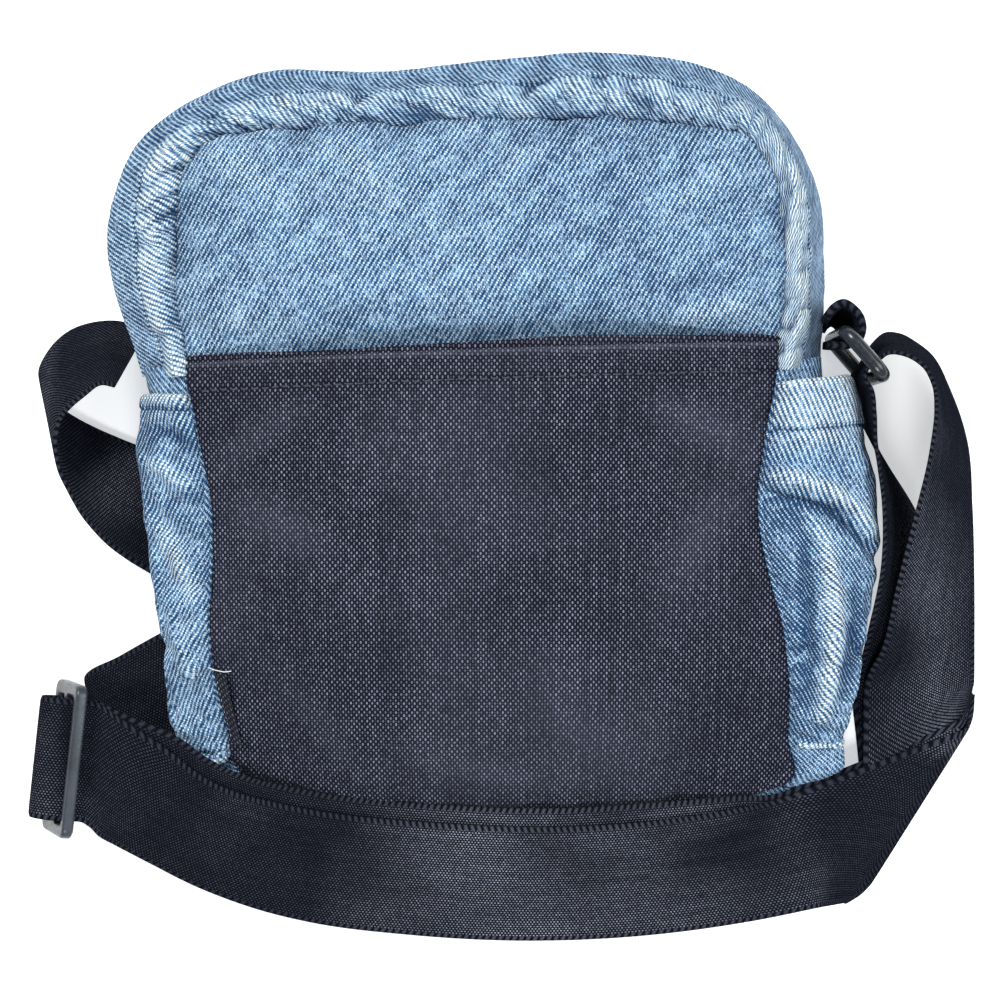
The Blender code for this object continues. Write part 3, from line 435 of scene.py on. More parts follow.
class Nodes:
    """Shorthand for building a material's node tree."""

    def __init__(self, name, roughness, metallic=0.0, specular=0.5):
        self.material = bpy.data.materials.new(name)
        self.material.use_nodes = True
        self.tree = self.material.node_tree
        self.shader = self.tree.nodes["Principled BSDF"]
        self.shader.inputs["Roughness"].default_value = roughness
        self.shader.inputs["Metallic"].default_value = metallic
        self.shader.inputs["Specular IOR Level"].default_value = specular

    def put(self, socket, value):
        if isinstance(value, Wire):
            self.tree.links.new(value.socket, socket)
        elif socket.type == "RGBA":
            socket.default_value = (*value, 1.0)
        else:
            socket.default_value = value

    def node(self, kind, output, *inputs, **named):
        """A new node's output, with its first inputs filled in order and the others by name."""
        node = self.tree.nodes.new(kind)
        for socket, value in zip(node.inputs, inputs):
            self.put(socket, value)
        for name, value in named.items():
            self.put(node.inputs[name], value)
        return Wire(self, node.outputs[output])

    def math(self, operation, *values, clamp=False):
        made = self.node("ShaderNodeMath", 0, *values)
        made.socket.node.operation = operation
        made.socket.node.use_clamp = clamp
        return made

    def step(self, value, low, high):
        made = self.node("ShaderNodeMapRange", 0, value, low, high)
        made.socket.node.interpolation_type = "SMOOTHSTEP"
        return made

    def attribute(self, name, output="Fac"):
        made = self.node("ShaderNodeAttribute", output)
        made.socket.node.attribute_name = name
        return made

    def split(self, vector):
        made = self.node("ShaderNodeSeparateXYZ", 0, vector)
        return [Wire(self, output) for output in made.socket.node.outputs]

    def vector(self, x, y, z):
        return self.node("ShaderNodeCombineXYZ", 0, x, y, z)

    def noise(self, vector, scale, detail, rough=0.5):
        return self.node("ShaderNodeTexNoise", "Fac",
                         Vector=vector, Scale=scale, Detail=detail, Roughness=rough)

    def random(self, vector):
        return self.node("ShaderNodeTexWhiteNoise", "Value", vector)

    def object_place(self):
        return self.node("ShaderNodeTexCoord", "Object")

    def mix(self, factor, a, b):
        node = self.tree.nodes.new("ShaderNodeMix")
        node.data_type = "RGBA"
        for index, value in ((0, factor), (6, a), (7, b)):
            self.put(node.inputs[index], value)
        return Wire(self, node.outputs[2])

    def bump(self, height, distance, strength, after=None):
        made = self.node("ShaderNodeBump", 0, Strength=strength, Distance=distance, Height=height)
        if after:
            self.put(made.socket.node.inputs["Normal"], after)
        return made

    def done(self, colour, normal=None, roughness=None, sheen_tint=None):
        """The material, with its looks joined to the shader."""
        inputs = self.shader.inputs
        for name, value in (("Base Color", colour), ("Normal", normal), ("Roughness", roughness)):
            if value is not None:
                self.put(inputs[name], value)
        if sheen_tint:
            inputs["Sheen Weight"].default_value = 0.2
            inputs["Sheen Roughness"].default_value = 0.5
            self.put(inputs["Sheen Tint"], sheen_tint)
        return self.material


DENIM_WARP_PITCH, DENIM_PICK_PITCH = 0.00039, 0.00066
CANVAS_WARP_PITCH, CANVAS_PICK_PITCH = 0.00082, 0.00095
WEBBING_WARP_PITCH, WEBBING_PICK_PITCH, SELVEDGE_PITCH = 0.00078, 0.00105, 0.00215


def denim(name):
    """Washed 3/1 twill: blue warp floats, pale weft flecks, slubs, worn ridges, dark creases that are partly
    unfaded dye and partly painted shade, and painted shade between the yarns.
    """
    k = Nodes(name, roughness=0.95, specular=0.15)
    u, v, _ = k.split(k.attribute("cloth", "Vector"))
    wobble = k.noise(k.vector(u, v, 0.0), 90.0, 2.0)
    a = (wobble * 0.0009 + u) * (1 / DENIM_WARP_PITCH)
    b = (wobble * 0.0006 + v) * (1 / DENIM_PICK_PITCH)
    ia, ib = k.math("FLOOR", a), k.math("FLOOR", b)
    wear, deep = k.attribute("wear"), k.attribute("deep")
    turn = (a - ib - 0.5) * 0.25
    away = k.math("ABSOLUTE", k.math("FRACT", turn + 0.5) - 0.5) * 4.0
    pick = k.math("ABSOLUTE", k.math("FRACT", b) - 0.5)
    side = k.math("ABSOLUTE", k.math("FRACT", a) - 0.5)
    weft = k.step(away, wear * 0.55 + 1.05, 0.35) * k.step(pick, 0.52, 0.3)
    fleck = k.random(k.vector(ia, ib, 1.0))
    grain = k.random(k.vector(ia, ib, 5.0))
    slub_warp = k.noise(k.vector(a * 0.9, b * 0.05, 0.0), 1.0, 2.0)
    slub_weft = k.noise(k.vector(a * 0.05, b * 0.8, 4.0), 1.0, 1.0)
    cloud = k.noise(k.vector(u, v, 2.0), 150.0, 4.0, 0.62)
    streak = k.noise(k.vector(u + v, (u - v) * 3.4, 8.0), 42.0, 3.0, 0.55)
    lift = (slub_warp - 0.5) * 0.8 + (slub_weft - 0.5) * 0.45
    # deep darkens creases, seams and hems: partly indigo kept in the creases, partly painted shade
    lift = lift + (cloud - 0.5) * 1.1 + (streak - 0.5) * 1.15 + wear * 0.3 + deep * -0.85
    worn = k.step(grain + lift * 0.45, 0.66, 0.92)
    warp = k.mix(grain * 0.6 + lift + 0.02, (0.006, 0.038, 0.11), (0.07, 0.22, 0.43))
    warp = k.mix(worn * 0.48, warp, (0.42, 0.56, 0.7))
    # painted shade: each warp yarn darker towards its edges, as shade between yarns
    warp = k.mix(k.step(side, 0.3, 0.5) * 0.45, warp, (0.008, 0.032, 0.08))
    pale = k.mix(wear, (0.6, 0.77, 0.92), (0.84, 0.88, 0.78))
    weft_f = weft * k.math("ADD", fleck * 0.6 + 0.4, lift * 0.45 + wear * 0.25, clamp=True)
    colour = k.mix(weft_f, warp, pale)
    height = weft * 0.55 + fleck * 0.35
    return k.done(colour, k.bump(cloud, 0.0008, 0.5, k.bump(height, 0.0002, 1.0)))


def canvas(name, dark=1.0):
    """Plain weave of thick dark yarns, each a small cushion, its crown coloured as a painted highlight and
    its sides as painted shade.
    """
    k = Nodes(name, roughness=0.7, specular=0.12)
    u, v, _ = k.split(k.attribute("cloth", "Vector"))
    wobble = k.noise(k.vector(u, v, 0.0), 60.0, 1.0)
    a = (wobble * 0.0006 + u) * (1 / CANVAS_WARP_PITCH)
    b = (wobble * 0.0006 + v) * (1 / CANVAS_PICK_PITCH)
    ia, ib = k.math("FLOOR", a), k.math("FLOOR", b)
    fa, fb = k.math("FRACT", a) - 0.5, k.math("FRACT", b) - 0.5
    over = k.math("FLOORED_MODULO", ia + ib, 2.0)
    warp_h = k.math("COSINE", fa * 2.6) * k.math("COSINE", fb * 1.9)
    weft_h = k.math("COSINE", fb * 2.6) * k.math("COSINE", fa * 1.9)
    h = over * warp_h + (1.0 - over) * (weft_h * 0.6)
    yarn = k.random(k.vector(over * ia, (1.0 - over) * ib, over))
    spot = k.random(k.vector(ia, ib, 3.0))
    h = h + spot * 0.1
    cloud = k.noise(k.vector(u, v, 2.0), 40.0, 3.0)
    wear, deep = k.attribute("wear"), k.attribute("deep")
    # painted highlight on each yarn's crown, painted shade between yarns
    light = k.step(h, 0.52, 1.0)
    f = light * (yarn * 0.3 + 0.5) * (spot * 0.55 + 0.7) * ((cloud - 0.5) * 1.1 + 1.0)
    # wear lightens; deep darkens as painted shade in creases, at edges and in the hem's fold
    f = f + wear * 0.3 + deep * -0.4
    # the pale end is the painted highlight colour
    ends = [[share * dark for share in colour] for colour in ((0.0015, 0.0022, 0.009), (0.215, 0.232, 0.32))]
    return k.done(k.mix(f, *ends), k.bump(h, 0.00022, 1.0))


def webbing(name):
    """Close-woven webbing: fine dots between two corded selvedges, by how far out across it a point is; the
    pale dots and cords are painted glints, stronger in the painted sheen.
    """
    k = Nodes(name, roughness=0.34, specular=0.0)
    u, v, _ = k.split(k.attribute("cloth", "Vector"))
    a, b = u * (1 / WEBBING_WARP_PITCH), v * (1 / WEBBING_PICK_PITCH)
    ia = k.math("FLOOR", a)
    b2 = b + k.math("FLOORED_MODULO", ia, 2.0) * 0.5
    fa, fb = k.math("FRACT", a) - 0.5, k.math("FRACT", b2) - 0.5
    dot = k.math("COSINE", fa * 2.7) * k.math("COSINE", fb * 2.9)
    near = k.attribute("edge")
    border = k.step(near, 0.905, 0.935)
    groove = k.step(near, 0.86, 0.905) * k.step(near, 0.95, 0.905)
    cord = k.math("SINE", v * (2 * math.pi / SELVEDGE_PITCH) + near * 22.0)
    height = k.mix(border, dot, cord * 0.75 + 0.3) - groove * 0.9
    spot = k.random(k.vector(ia, k.math("FLOOR", b2), 1.0))
    streak = k.noise(k.vector(a * 0.35, b * 0.03, 0.0), 1.0, 2.0)
    haze = k.noise(k.vector(u, v, 3.0), 45.0, 3.0)
    # painted sheen: how strong the painted glints are, from the wear attribute (random tone plus painted
    # sheen zones)
    painted_sheen = k.attribute("wear") * 0.85 + 0.12
    # painted glints: the dot crowns are coloured pale in place of a reflection
    f = k.step(dot, 0.45, 0.98) * (spot * 0.6 + 0.55) * ((streak - 0.5) * 1.2 + (haze - 0.5) * 1.2 + 1.0)
    f = f * painted_sheen * (1.0 - border)
    # painted glints on the corded selvedges
    f = f + border * k.step(cord, -0.9, 1.0) * (painted_sheen * 0.17 + 0.055)
    # the pale end is the painted glint colour
    colour = k.mix(f, (0.004, 0.005, 0.0092), (0.29, 0.31, 0.39))
    return k.done(colour, k.bump(height, 0.00022, 0.9))


def moulded(name, dark, light, roughness):
    """Moulded plastic with a fine grain, faint flow marks and rubbed edges."""
    k = Nodes(name, roughness=roughness)
    place = k.object_place()
    grain = k.noise(place, 2600.0, 3.0)
    flow = k.noise(place, 90.0, 3.0)
    scratch = k.noise(place, 700.0, 2.0)
    colour = k.mix(k.step(grain * 0.35 + flow * 0.65, 0.3, 0.72), dark, light)
    rough = k.step(scratch, 0.45, 0.75) * 0.18 + (roughness - 0.06)
    return k.done(colour, k.bump(flow, 0.00025, 0.35, k.bump(grain, 0.00005, 0.5)), rough)


def thread_material(name, colour, light):
    k = Nodes(name, roughness=0.8)
    f = k.noise(k.object_place(), 1800.0, 2.0)
    return k.done(k.mix(f, colour, light), k.bump(f, 0.0001, 0.6), sheen_tint=(1.0, 1.0, 1.0))


def plain_weave(name, dark, light, pitch, roughness=0.85):
    """Thin woven cloth for linings, tape and foam: a weave in the piece's own place."""
    k = Nodes(name, roughness=roughness)
    place = k.object_place()
    x, y, z = k.split(place)
    w = 2 * math.pi / pitch
    h = k.math("SINE", (x + z) * w) * k.math("SINE", (y - z) * w)
    cloud = k.noise(place, 70.0, 3.0)
    f = h * 0.3 + 0.3 + (cloud - 0.5) * 0.8
    return k.done(k.mix(f, dark, light), k.bump(h, pitch * 0.12, 0.6), sheen_tint=(0.8, 0.8, 0.9))


def plated(name, dark, light):
    """Dark plated zip metal, brushed and rubbed bright on its high places."""
    k = Nodes(name, roughness=0.32, metallic=1.0)
    place = k.object_place()
    x, y, z = k.split(place)
    brush = k.noise(k.vector(x * 0.2, y, z), 3200.0, 2.0)
    patch = k.noise(place, 260.0, 3.0)
    colour = k.mix(k.step(patch, 0.25, 0.8), dark, light)
    return k.done(colour, k.bump(brush, 0.00003, 0.6), brush * 0.25 + 0.2)


DENIM = denim("washed_denim")
CANVAS = canvas("navy_canvas")
WEBBING = webbing("navy_webbing")
ADJUSTER = moulded("grey_plastic", (0.019, 0.025, 0.034), (0.042, 0.053, 0.070), 0.40)
RING = moulded("black_plastic", (0.008, 0.010, 0.014), (0.020, 0.025, 0.034), 0.30)
PALE_THREAD = thread_material("pale_thread", (0.50, 0.60, 0.68), (0.88, 0.92, 0.92))
BLUE_THREAD = thread_material("blue_thread", (0.03, 0.08, 0.20), (0.10, 0.20, 0.38))
DARK_THREAD = thread_material("dark_thread", (0.006, 0.007, 0.012), (0.06, 0.06, 0.09))
LINING = plain_weave("lining_cloth", (0.010, 0.011, 0.016), (0.040, 0.042, 0.055), 0.0006)
FOAM = plain_weave("padding", (0.40, 0.40, 0.37), (0.72, 0.71, 0.66), 0.0016)
TAPE = plain_weave("zip_tape_cloth", (0.008, 0.010, 0.018), (0.045, 0.050, 0.068), 0.0007)
TEETH = moulded("zip_coil", (0.012, 0.013, 0.018), (0.045, 0.047, 0.058), 0.38)
METAL = plated("zip_plating", (0.19, 0.19, 0.195), (0.30, 0.30, 0.31))


def carried(node, material):
    """Give a kept CAD node its finished material."""
    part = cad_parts[node]
    part.data.materials.clear()
    part.data.materials.append(material)


def stitches(name, line, up, pitch, length, radius, material, lift):
    """A row of stitches along a line: each a short thread that dips at both ends."""
    up = np.broadcast_to(up, line.shape)
    run = arc(line, 0)
    parts = []
    start = pitch * 0.3
    while start + length < run[-1]:
        where = np.linspace(start, start + length, 5)
        at = np.stack([np.interp(where, run, line[:, c]) for c in range(3)], -1)
        over = np.stack([np.interp(where, run, up[:, c]) for c in range(3)], -1)
        rise = np.array([-0.8, 0.35, 0.7, 0.35, -0.8]) * radius + lift
        parts.append(tube(at + over * rise[:, None], radius * np.array([0.7, 1, 1.05, 1, 0.7]), 6))
        start += pitch
    finish_piece(mesh_object(name, *join_parts(parts)), material, "bag")


# ---------------------------------------------------------------- back panel and slip pocket
BACK_FOLDS = [
    ([(60, 36), (78, 41), (92, 39)], 3.2, 1.3),
    ([(48, 46), (66, 47), (86, 49)], 3.5, -0.9),
    ([(-84, 38), (-68, 36), (-52, 33)], 4.0, 0.7),
    ([(-80, 88), (-66, 80), (-52, 70)], 4.0, 0.8),
    ([(84, 84), (72, 76), (58, 68)], 4.2, 0.8),
    ([(-38, 90), (-30, 80), (-18, 68)], 3.8, 0.7),
    ([(22, 92), (14, 83), (8, 74)], 3.8, 0.6),
]
SLIP_POCKET_FOLDS = [
    ([(-78, -8), (-62, 2), (-44, 14)], 5.5, 1.0),
    ([(-76, -20), (-60, -24), (-42, -34)], 6.0, 0.9),
    ([(86, -2), (70, 6), (52, 14)], 5.5, 1.1),
    ([(85, -14), (72, -26), (64, -44)], 6.5, 1.0),
    ([(-60, -70), (-45, -88), (-36, -104)], 7.0, 0.8),
    ([(20, -60), (30, -84), (48, -104)], 9.0, 0.6),
    ([(-20, -96), (10, -104), (40, -106)], 5.0, 0.7),
]
BACK_WIDTH_MM, BACK_HEIGHT_MM = 185, 215


def mouth_y(x):
    """Height of the slip pocket's mouth up the bag, in mm, at x in mm."""
    return 27.5 + (x - 5) * 0.036


def make_back_panel():
    a, b = grid(0.0, 1.0, 150, 0.0, 1.0, 150)
    P = panel(REAR, a, b, BACK_LEVEL, BACK_SLOPES, 2.0)
    filled = 0.0062 * smooth(a, 0, 0.12) * smooth(1 - a, 0, 0.12) * smooth(1 - b, 0, 0.10)
    P[..., 2] += filled * smooth(b, 0.60, 0.70)
    P[..., 2] -= 0.0012 * (1 - smooth(b, 0.56, 0.66))
    coarse = P[::3, ::3]
    move = buckle(coarse, 0.016, 0.6, 0.0030, bend=3.0, seed=3) - coarse
    P = resample(P + resample(move, 150, 150) * smooth(b, 0.60, 0.68)[..., None], 260, 260)
    a, b = grid(0.0, 1.0, 260, 0.0, 1.0, 260)
    x, y = in_mm(P)
    near_top = (1 - b) * BACK_HEIGHT_MM
    near = np.minimum(np.minimum(a, 1 - a) * BACK_WIDTH_MM, np.minimum(near_top, b * BACK_HEIGHT_MM))
    gather = bell(near - 7, 7.5) * clouds(np.where(near == near_top, x, y), near * 0.35, 7.0, 21, 2)
    height = gather * 0.75 + folds(x, y, BACK_FOLDS) + clouds(x, y, 34.0, 5, 2) * 0.35
    height *= smooth(b, 0.60, 0.66)
    P = raised(P, outward(P, UP), height)
    P[..., 2] -= 0.0024 * bell(near, 3.2)
    # deep: creases darker (partly dye, partly painted shade), painted shade along the seam, and a painted
    # shadow of the slip pocket's edge along its mouth
    deep = np.clip(-height * 0.45, 0, 0.7) + 0.75 * bell(near, 1.3) + 0.35 * bell(y - mouth_y(x), 3.0)
    denim_piece("back_denim", "back_panel", P, P[..., 0], P[..., 1], np.clip(height * 0.40, 0, 1) * 0.8, deep)


def make_slip_pocket():
    a, share = grid(0.004, 0.996, 190, 0.0, 1.0, 150)
    top = 0.603 + 0.027 * a
    P = panel(REAR, a, 0.004 + (top - 0.004) * share, SLIP_POCKET_LEVEL, BACK_SLOPES, 2.0)
    P[..., 2] += 0.0017
    coarse = P[::3, ::3]
    move = buckle(coarse, 0.007, 0.5, 0.0018, bend=4.0, seed=8, pins=(1, 1, 1, 0)) - coarse
    P = resample(P + resample(move, 190, 150), 300, 240)
    a = grid(0.004, 0.996, 300, 0.0, 1.0, 240)[0]
    x, y = in_mm(P)
    below = mouth_y(x) - y
    edge = np.minimum(a, 1 - a) * 180
    wave = clouds(x, y, 46.0, 31, 2) * 0.7 + folds(x, y, SLIP_POCKET_FOLDS)
    hem = smooth(below, 8.6, 8.0) * 0.45 - 0.35 * bell(below - 8.9, 0.6)
    roll = -1.1 * bell(below, 0.9)
    gather = bell(edge - 3, 4.5) * clouds(y, edge * 0.4, 9.0, 41, 2) * 0.45
    sag = -0.9 * bell(x - 4, 42) * bell(below, 7)
    P = raised(P, outward(P, UP), wave * smooth(edge, 0, 9) + hem + roll + gather + sag)
    P[..., 2] -= 0.0014 * bell(edge, 2.0)
    wear = 0.55 * bell(below - 0.8, 0.7) + np.clip(wave * 0.22, 0, 0.4)
    # deep: painted shade in the canvas's creases, along its side edges and in the hem's fold
    deep = np.clip(-wave * 0.22, 0, 0.35) + 0.5 * bell(edge, 1.2) + 0.45 * bell(below - 9.0, 0.6)
    cloth_piece("slip_pocket_canvas", P, P[..., 0], P[..., 1], 0.0010, CANVAS, ["back_slip_pocket"],
                wear, deep)
    seam = np.arange(300), np.argmin(np.abs(below - 8.7), axis=1)
    line, up = (curve_through(values[seam][::5], 300)[8:-8] for values in (P, outward(P, UP)))
    stitches("slip_pocket_stitching", line, up, 0.0034, 0.0025, 0.00030, DARK_THREAD, 0.0005)


# ---------------------------------------------------------------- gusset
SECOND_SEAM = 0.190
RIM_END = 5.93
BAG_MIDDLE = np.array([0.005, 0.02, 0.0])
SIDEWAYS = np.array([1, 1, 0])


def rim_outward(P):
    return outward(P, (P - BAG_MIDDLE) * SIDEWAYS + UP * 0.06)


def make_rim():
    t, g = grid(-RIM_END, RIM_END, 240, 0.0, 1.0, 24)
    P = through(outline(REAR, t), outline(WIDEST, t), zip_line(t) + UP * ZIP_SEAM, 0.62, g)
    inner = np.sin(np.pi * np.clip(g / SECOND_SEAM, 0, 1) ** 0.6) ** 0.7
    outer = np.sin(np.pi * np.clip((g - SECOND_SEAM) / 0.5, 0, 1)) ** 0.7
    roll = 0.0021 * inner - 0.0004 * outer - 0.0018 * bell(g, 0.02)
    P = P + rim_outward(P) * roll[..., None]
    rows, cols = 760, 84
    weft, warp = (resample_values(arc(P, axis), rows, cols) for axis in (0, 1))
    Q = buckle(P, 0.030, 0.25, 0.0022, bend=4.0, seed=11, frames=18)
    Q = P + (Q - P) * (1 - 0.85 * smooth(g, 0.14, 0.28))[..., None]
    buckled = resample_values(relief(P, Q), rows, cols) * 1000
    Q = resample(Q, rows, cols)
    t, g = grid(-RIM_END, RIM_END, rows, 0.0, 1.0, cols)
    along = arc(Q, 0) * 1000
    slant = along + g * 42
    notch = (1 - np.abs(lattice(slant / 7.0, g * 2.0, 51))) ** 3
    strong = 0.35 + 0.65 * smooth(lattice(along / 13.0, g, 53), -0.4, 0.5)
    fine = clouds(slant, g * 9.0, 4.2, 57, 2)
    ridge = bell(g, 0.14) * (0.65 - 2.1 * notch * strong + 0.40 * fine)
    ridge += bell(g - SECOND_SEAM, 0.05) * clouds(along, g * 5.0, 4.0, 59, 2) * 0.16
    groove = -1.1 * bell(g - SECOND_SEAM, 0.013)
    creases = clouds(along * 0.7 - g * 20, g * 8 + along * 0.08, 9.0, 61, 3) * 0.22
    creases *= 1 - smooth(g, 0.15, 0.25)
    Q = raised(Q, rim_outward(Q), ridge + groove + creases * smooth(g, 0, 0.1))
    height = buckled * 0.5 + ridge + creases * 1.5
    wear = np.clip(height * 0.85 + 0.05, 0, 1.0) * (1 - smooth(g, 0.14, 0.20))
    wear = wear + 0.35 * bell(g - 0.08, 0.05) + 0.22 * bell(g - SECOND_SEAM - 0.03, 0.015)
    top = smooth(3.6 - np.abs(t), 0.0, 0.9)
    wear = wear * (1 - 0.30 * top) + 0.15 * (1 - top)
    # deep: creases darker (partly dye, partly painted shade) and painted shade along both seams
    deep = np.clip(-height, 0, 0.95) + 0.95 * bell(g, 0.018) + 0.95 * bell(g - SECOND_SEAM, 0.014)
    deep = deep + 0.10 * smooth(g, SECOND_SEAM, SECOND_SEAM + 0.05)
    denim_piece("rim_denim", "gusset_rear_strip", Q, weft, warp, wear, deep)


def make_front_strip():
    t, g = grid(-RIM_END, RIM_END, 300, 0.0, 1.0, 30)
    lower, front = zip_line(t) - UP * ZIP_SEAM, outline(FRONT, t)
    P = through(lower, (lower + front) / 2 - UP * 0.0010, front, 0.5, g * 0.97)
    N = outward(P, (P - BAG_MIDDLE - UP * 0.02) * np.array([1, 1, 0.2]))
    h = clouds(arc(P, 0) * 1000, g * 8, 9.0, 71, 3) * 0.45 * np.sin(np.pi * g) ** 0.6
    P = raised(P, N, h)
    P[..., 2] = np.maximum(P[..., 2], 0.0009)
    # deep: creases darker (partly dye, partly painted shade) and painted shade along the front seam
    denim_piece("front_rim_denim", "gusset_front_strip", P, arc(P, 0), arc(P, 1),
                h * 0.7, np.clip(-h * 0.7, 0, 1) + 0.6 * bell(1 - g, 0.05))


def make_side(name, node, t0, t1, low_bulge):
    """A side panel; it fills out below its pocket's bottom seam."""
    t, g = grid(t0, t1, 170, 0.0, 1.0, 60)
    P = side_section(t, g)
    sign = 1.0 if t0 < BOTTOM_MIDDLE else -1.0
    level = np.array([sign, 0.0, 0.0])
    N = outward(P, level * (0.4 + np.sin(np.pi * g))[..., None] + UP * (1 - 2 * g)[..., None])
    h = clouds(arc(P, 0) * 1000, g * 26, 11.0, 81 + int(t0), 3) * 0.55 * np.sin(np.pi * g)
    low = smooth(t, 8.9, 9.25) if sign > 0 else smooth(-t, -14.75, -14.45)
    closing = smooth(10.0 - t, 0.0, 0.5) if sign > 0 else smooth(t - 14.0, 0.0, 0.35)
    fill = low_bulge * low * closing * np.sin(np.pi * np.clip(g, 0, 1)) ** 0.8
    P = raised(P, N, h) + level * fill[..., None]
    # deep: creases darker (partly dye, partly painted shade) and painted shade along the rear seam
    denim_piece(name, node, P, arc(P, 1), arc(P, 0), h * 0.6, np.clip(-h * 0.5, 0, 1) + 0.5 * bell(g, 0.03))


def make_bottom():
    t, g = grid(10.02, 13.98, 260, 0.02, 0.98, 24)
    P = side_section(t, g)
    h = clouds(arc(P, 0) * 1000, g * 8, 8.0, 91, 3) * 0.35
    P = raised(P, outward(P, np.array([0, -1.0, 0.0])), h)
    # deep: creases darker, partly dye and partly painted shade
    denim_piece("bottom_denim", "bottom_panel", P, arc(P, 0), arc(P, 1), h * 0.8, -h * 0.8)


RIGHT_POCKET_BULGE = [
    (6.0, 0.0096), (6.3, 0.0112), (6.6, 0.0122), (7.0, 0.0136), (7.7, 0.0112),
    (8.4, 0.0085), (9.0, 0.0072), (9.7, 0.0055),
]
LEFT_POCKET_BULGE = [
    (14.4, 0.0050), (15.0, 0.0066), (16.0, 0.0056), (17.0, 0.0060), (17.5, 0.0056), (17.95, 0.0004),
]


def make_side_pocket(name, node, t_mouth, t_low, bulges, pleats, hem, seed, pale_mouth):
    right = t_mouth < BOTTOM_MIDDLE
    level = np.array([1.0 if right else -1.0, 0.0, 0.0])

    def pocket_outward(Q, g):
        return outward(Q, level * 0.6 + UP * (1 - 2 * g)[..., None])

    t, g = grid(t_mouth, t_low, 66, 0.015, 0.985, 30)
    P = side_section(t, g)
    swell = np.interp(t, *zip(*bulges)) * np.sin(np.pi * g)
    inner = smooth(np.minimum(g, 1 - g), 0, 0.08)[..., None]
    P = P + pocket_outward(P, g) * 0.0014 * inner + level * swell[..., None]
    rows, cols = 330, 130
    weft, warp = (resample_values(arc(P, axis), rows, cols) for axis in (1, 0))
    Q = buckle(P, 0.022, 0.5, 0.0020, bend=6.0, seed=seed, pins=(0, 1, 1, 1))
    buckled = resample_values(relief(P, Q), rows, cols) * 1000
    Q = resample(Q, rows, cols)
    g = grid(t_mouth, t_low, rows, 0.015, 0.985, cols)[1]
    N = pocket_outward(Q, g)
    down = arc(Q, 0) * 1000
    seam_near = np.minimum(g, 1 - g) * 45
    pleated = folds(*in_mm(Q), pleats) * (Q[..., 2] > 0.024) * 1.35
    rough = clouds(down, g * 40, 14.0, seed + 5, 2) * 0.34
    gather = bell(seam_near - 3, 4) * clouds(down, seam_near, 8.0, seed + 9, 2) * 0.35
    hemmed = smooth(down, hem + 0.6, hem) * 0.5 - 0.7 * bell(down - hem, 0.55) - 0.9 * bell(down, 0.8)
    total = pleated + rough * smooth(down, 0, 8) + gather + hemmed
    Q = raised(Q, N, total * smooth(np.minimum(g, 1 - g), 0, 0.03))
    height = pleated * 1.1 + rough + gather + buckled * 0.5
    faded, dye = (0.60, 0.12) if right else (0.40, 0.0)
    wear = np.clip(height * 0.36, 0, 0.85) + pale_mouth * bell(down, 1.4)
    wear = wear + faded * smooth(down, hem, hem - 2) + 0.3 * bell(down - hem - 2.2, 1.6)
    # deep: creases darker (partly dye, partly painted shade), with painted shade in the hem's fold and along
    # the side seams
    deep = np.clip(-height * 0.62, 0, 0.9) + 0.9 * bell(down - hem, 0.7)
    deep = deep + dye * smooth(down, hem, hem + 4) + 0.5 * bell(seam_near, 1.4)
    denim_piece(name, node, Q, weft, warp, wear, deep, 0.0013)
    row = int(np.argmin(np.abs(down[:, cols // 2] - hem)))
    stitches(name + "_stitching", Q[row, 6:-6], N[row, 6:-6], 0.0030, 0.0022, 0.00026, BLUE_THREAD, 0.0003)
    return Q[-1, 4:-4], N[-1, 4:-4]


def welt(name, line, out):
    """A narrow rolled edge of pale worn denim along a line."""
    radius, columns = 0.0010, 9
    along = unit(np.gradient(line, axis=0))
    out = unit(out - along * np.sum(out * along, axis=1, keepdims=True))
    side = np.cross(along, out)
    run = arc(line, 0)
    ang, weft = np.meshgrid(np.linspace(-0.62 * np.pi, 0.62 * np.pi, columns), run)
    r = radius * (1 + 0.16 * lattice(run * 1000 / 2.4, run * 0, 77))[:, None]
    P = (line[:, None] + out[:, None] * (np.cos(ang) * r)[..., None]
         + side[:, None] * (np.sin(ang) * r)[..., None])
    cloth_piece(name, P, weft, ang * radius, 0.0005, DENIM, (),
                np.full(ang.shape, 0.85), np.zeros(ang.shape))


def make_front():
    a, b = grid(0.0, 1.0, 200, 0.0, 1.0, 200)
    P = panel(FRONT, a, b, FRONT_LEVEL, FRONT_SLOPES, 1.2)
    x, y = in_mm(P)
    near = np.minimum(np.minimum(a, 1 - a) * 180, np.minimum(b, 1 - b) * 210)
    h = clouds(x, y, 26.0, 101, 3) * 0.35
    run = np.where(near == a * 180, y, x)
    gather = bell(near - 5, 6) * clouds(run + near, near * 0.4, 7.0, 103, 2) * 0.5
    lift = np.maximum(0, h + 0.25) * 0.5 + np.maximum(0, gather + 0.1) * 0.8
    P[..., 2] += lift * MM * smooth(near, 0, 3)
    # deep: creases darker (partly dye, partly painted shade) and painted shade along the seams
    denim_piece("front_denim", "front_panel", P, arc(P, 0), arc(P, 1),
                gather * 0.6, np.clip(-gather * 0.6, 0, 1) + 0.7 * bell(near, 1.4))


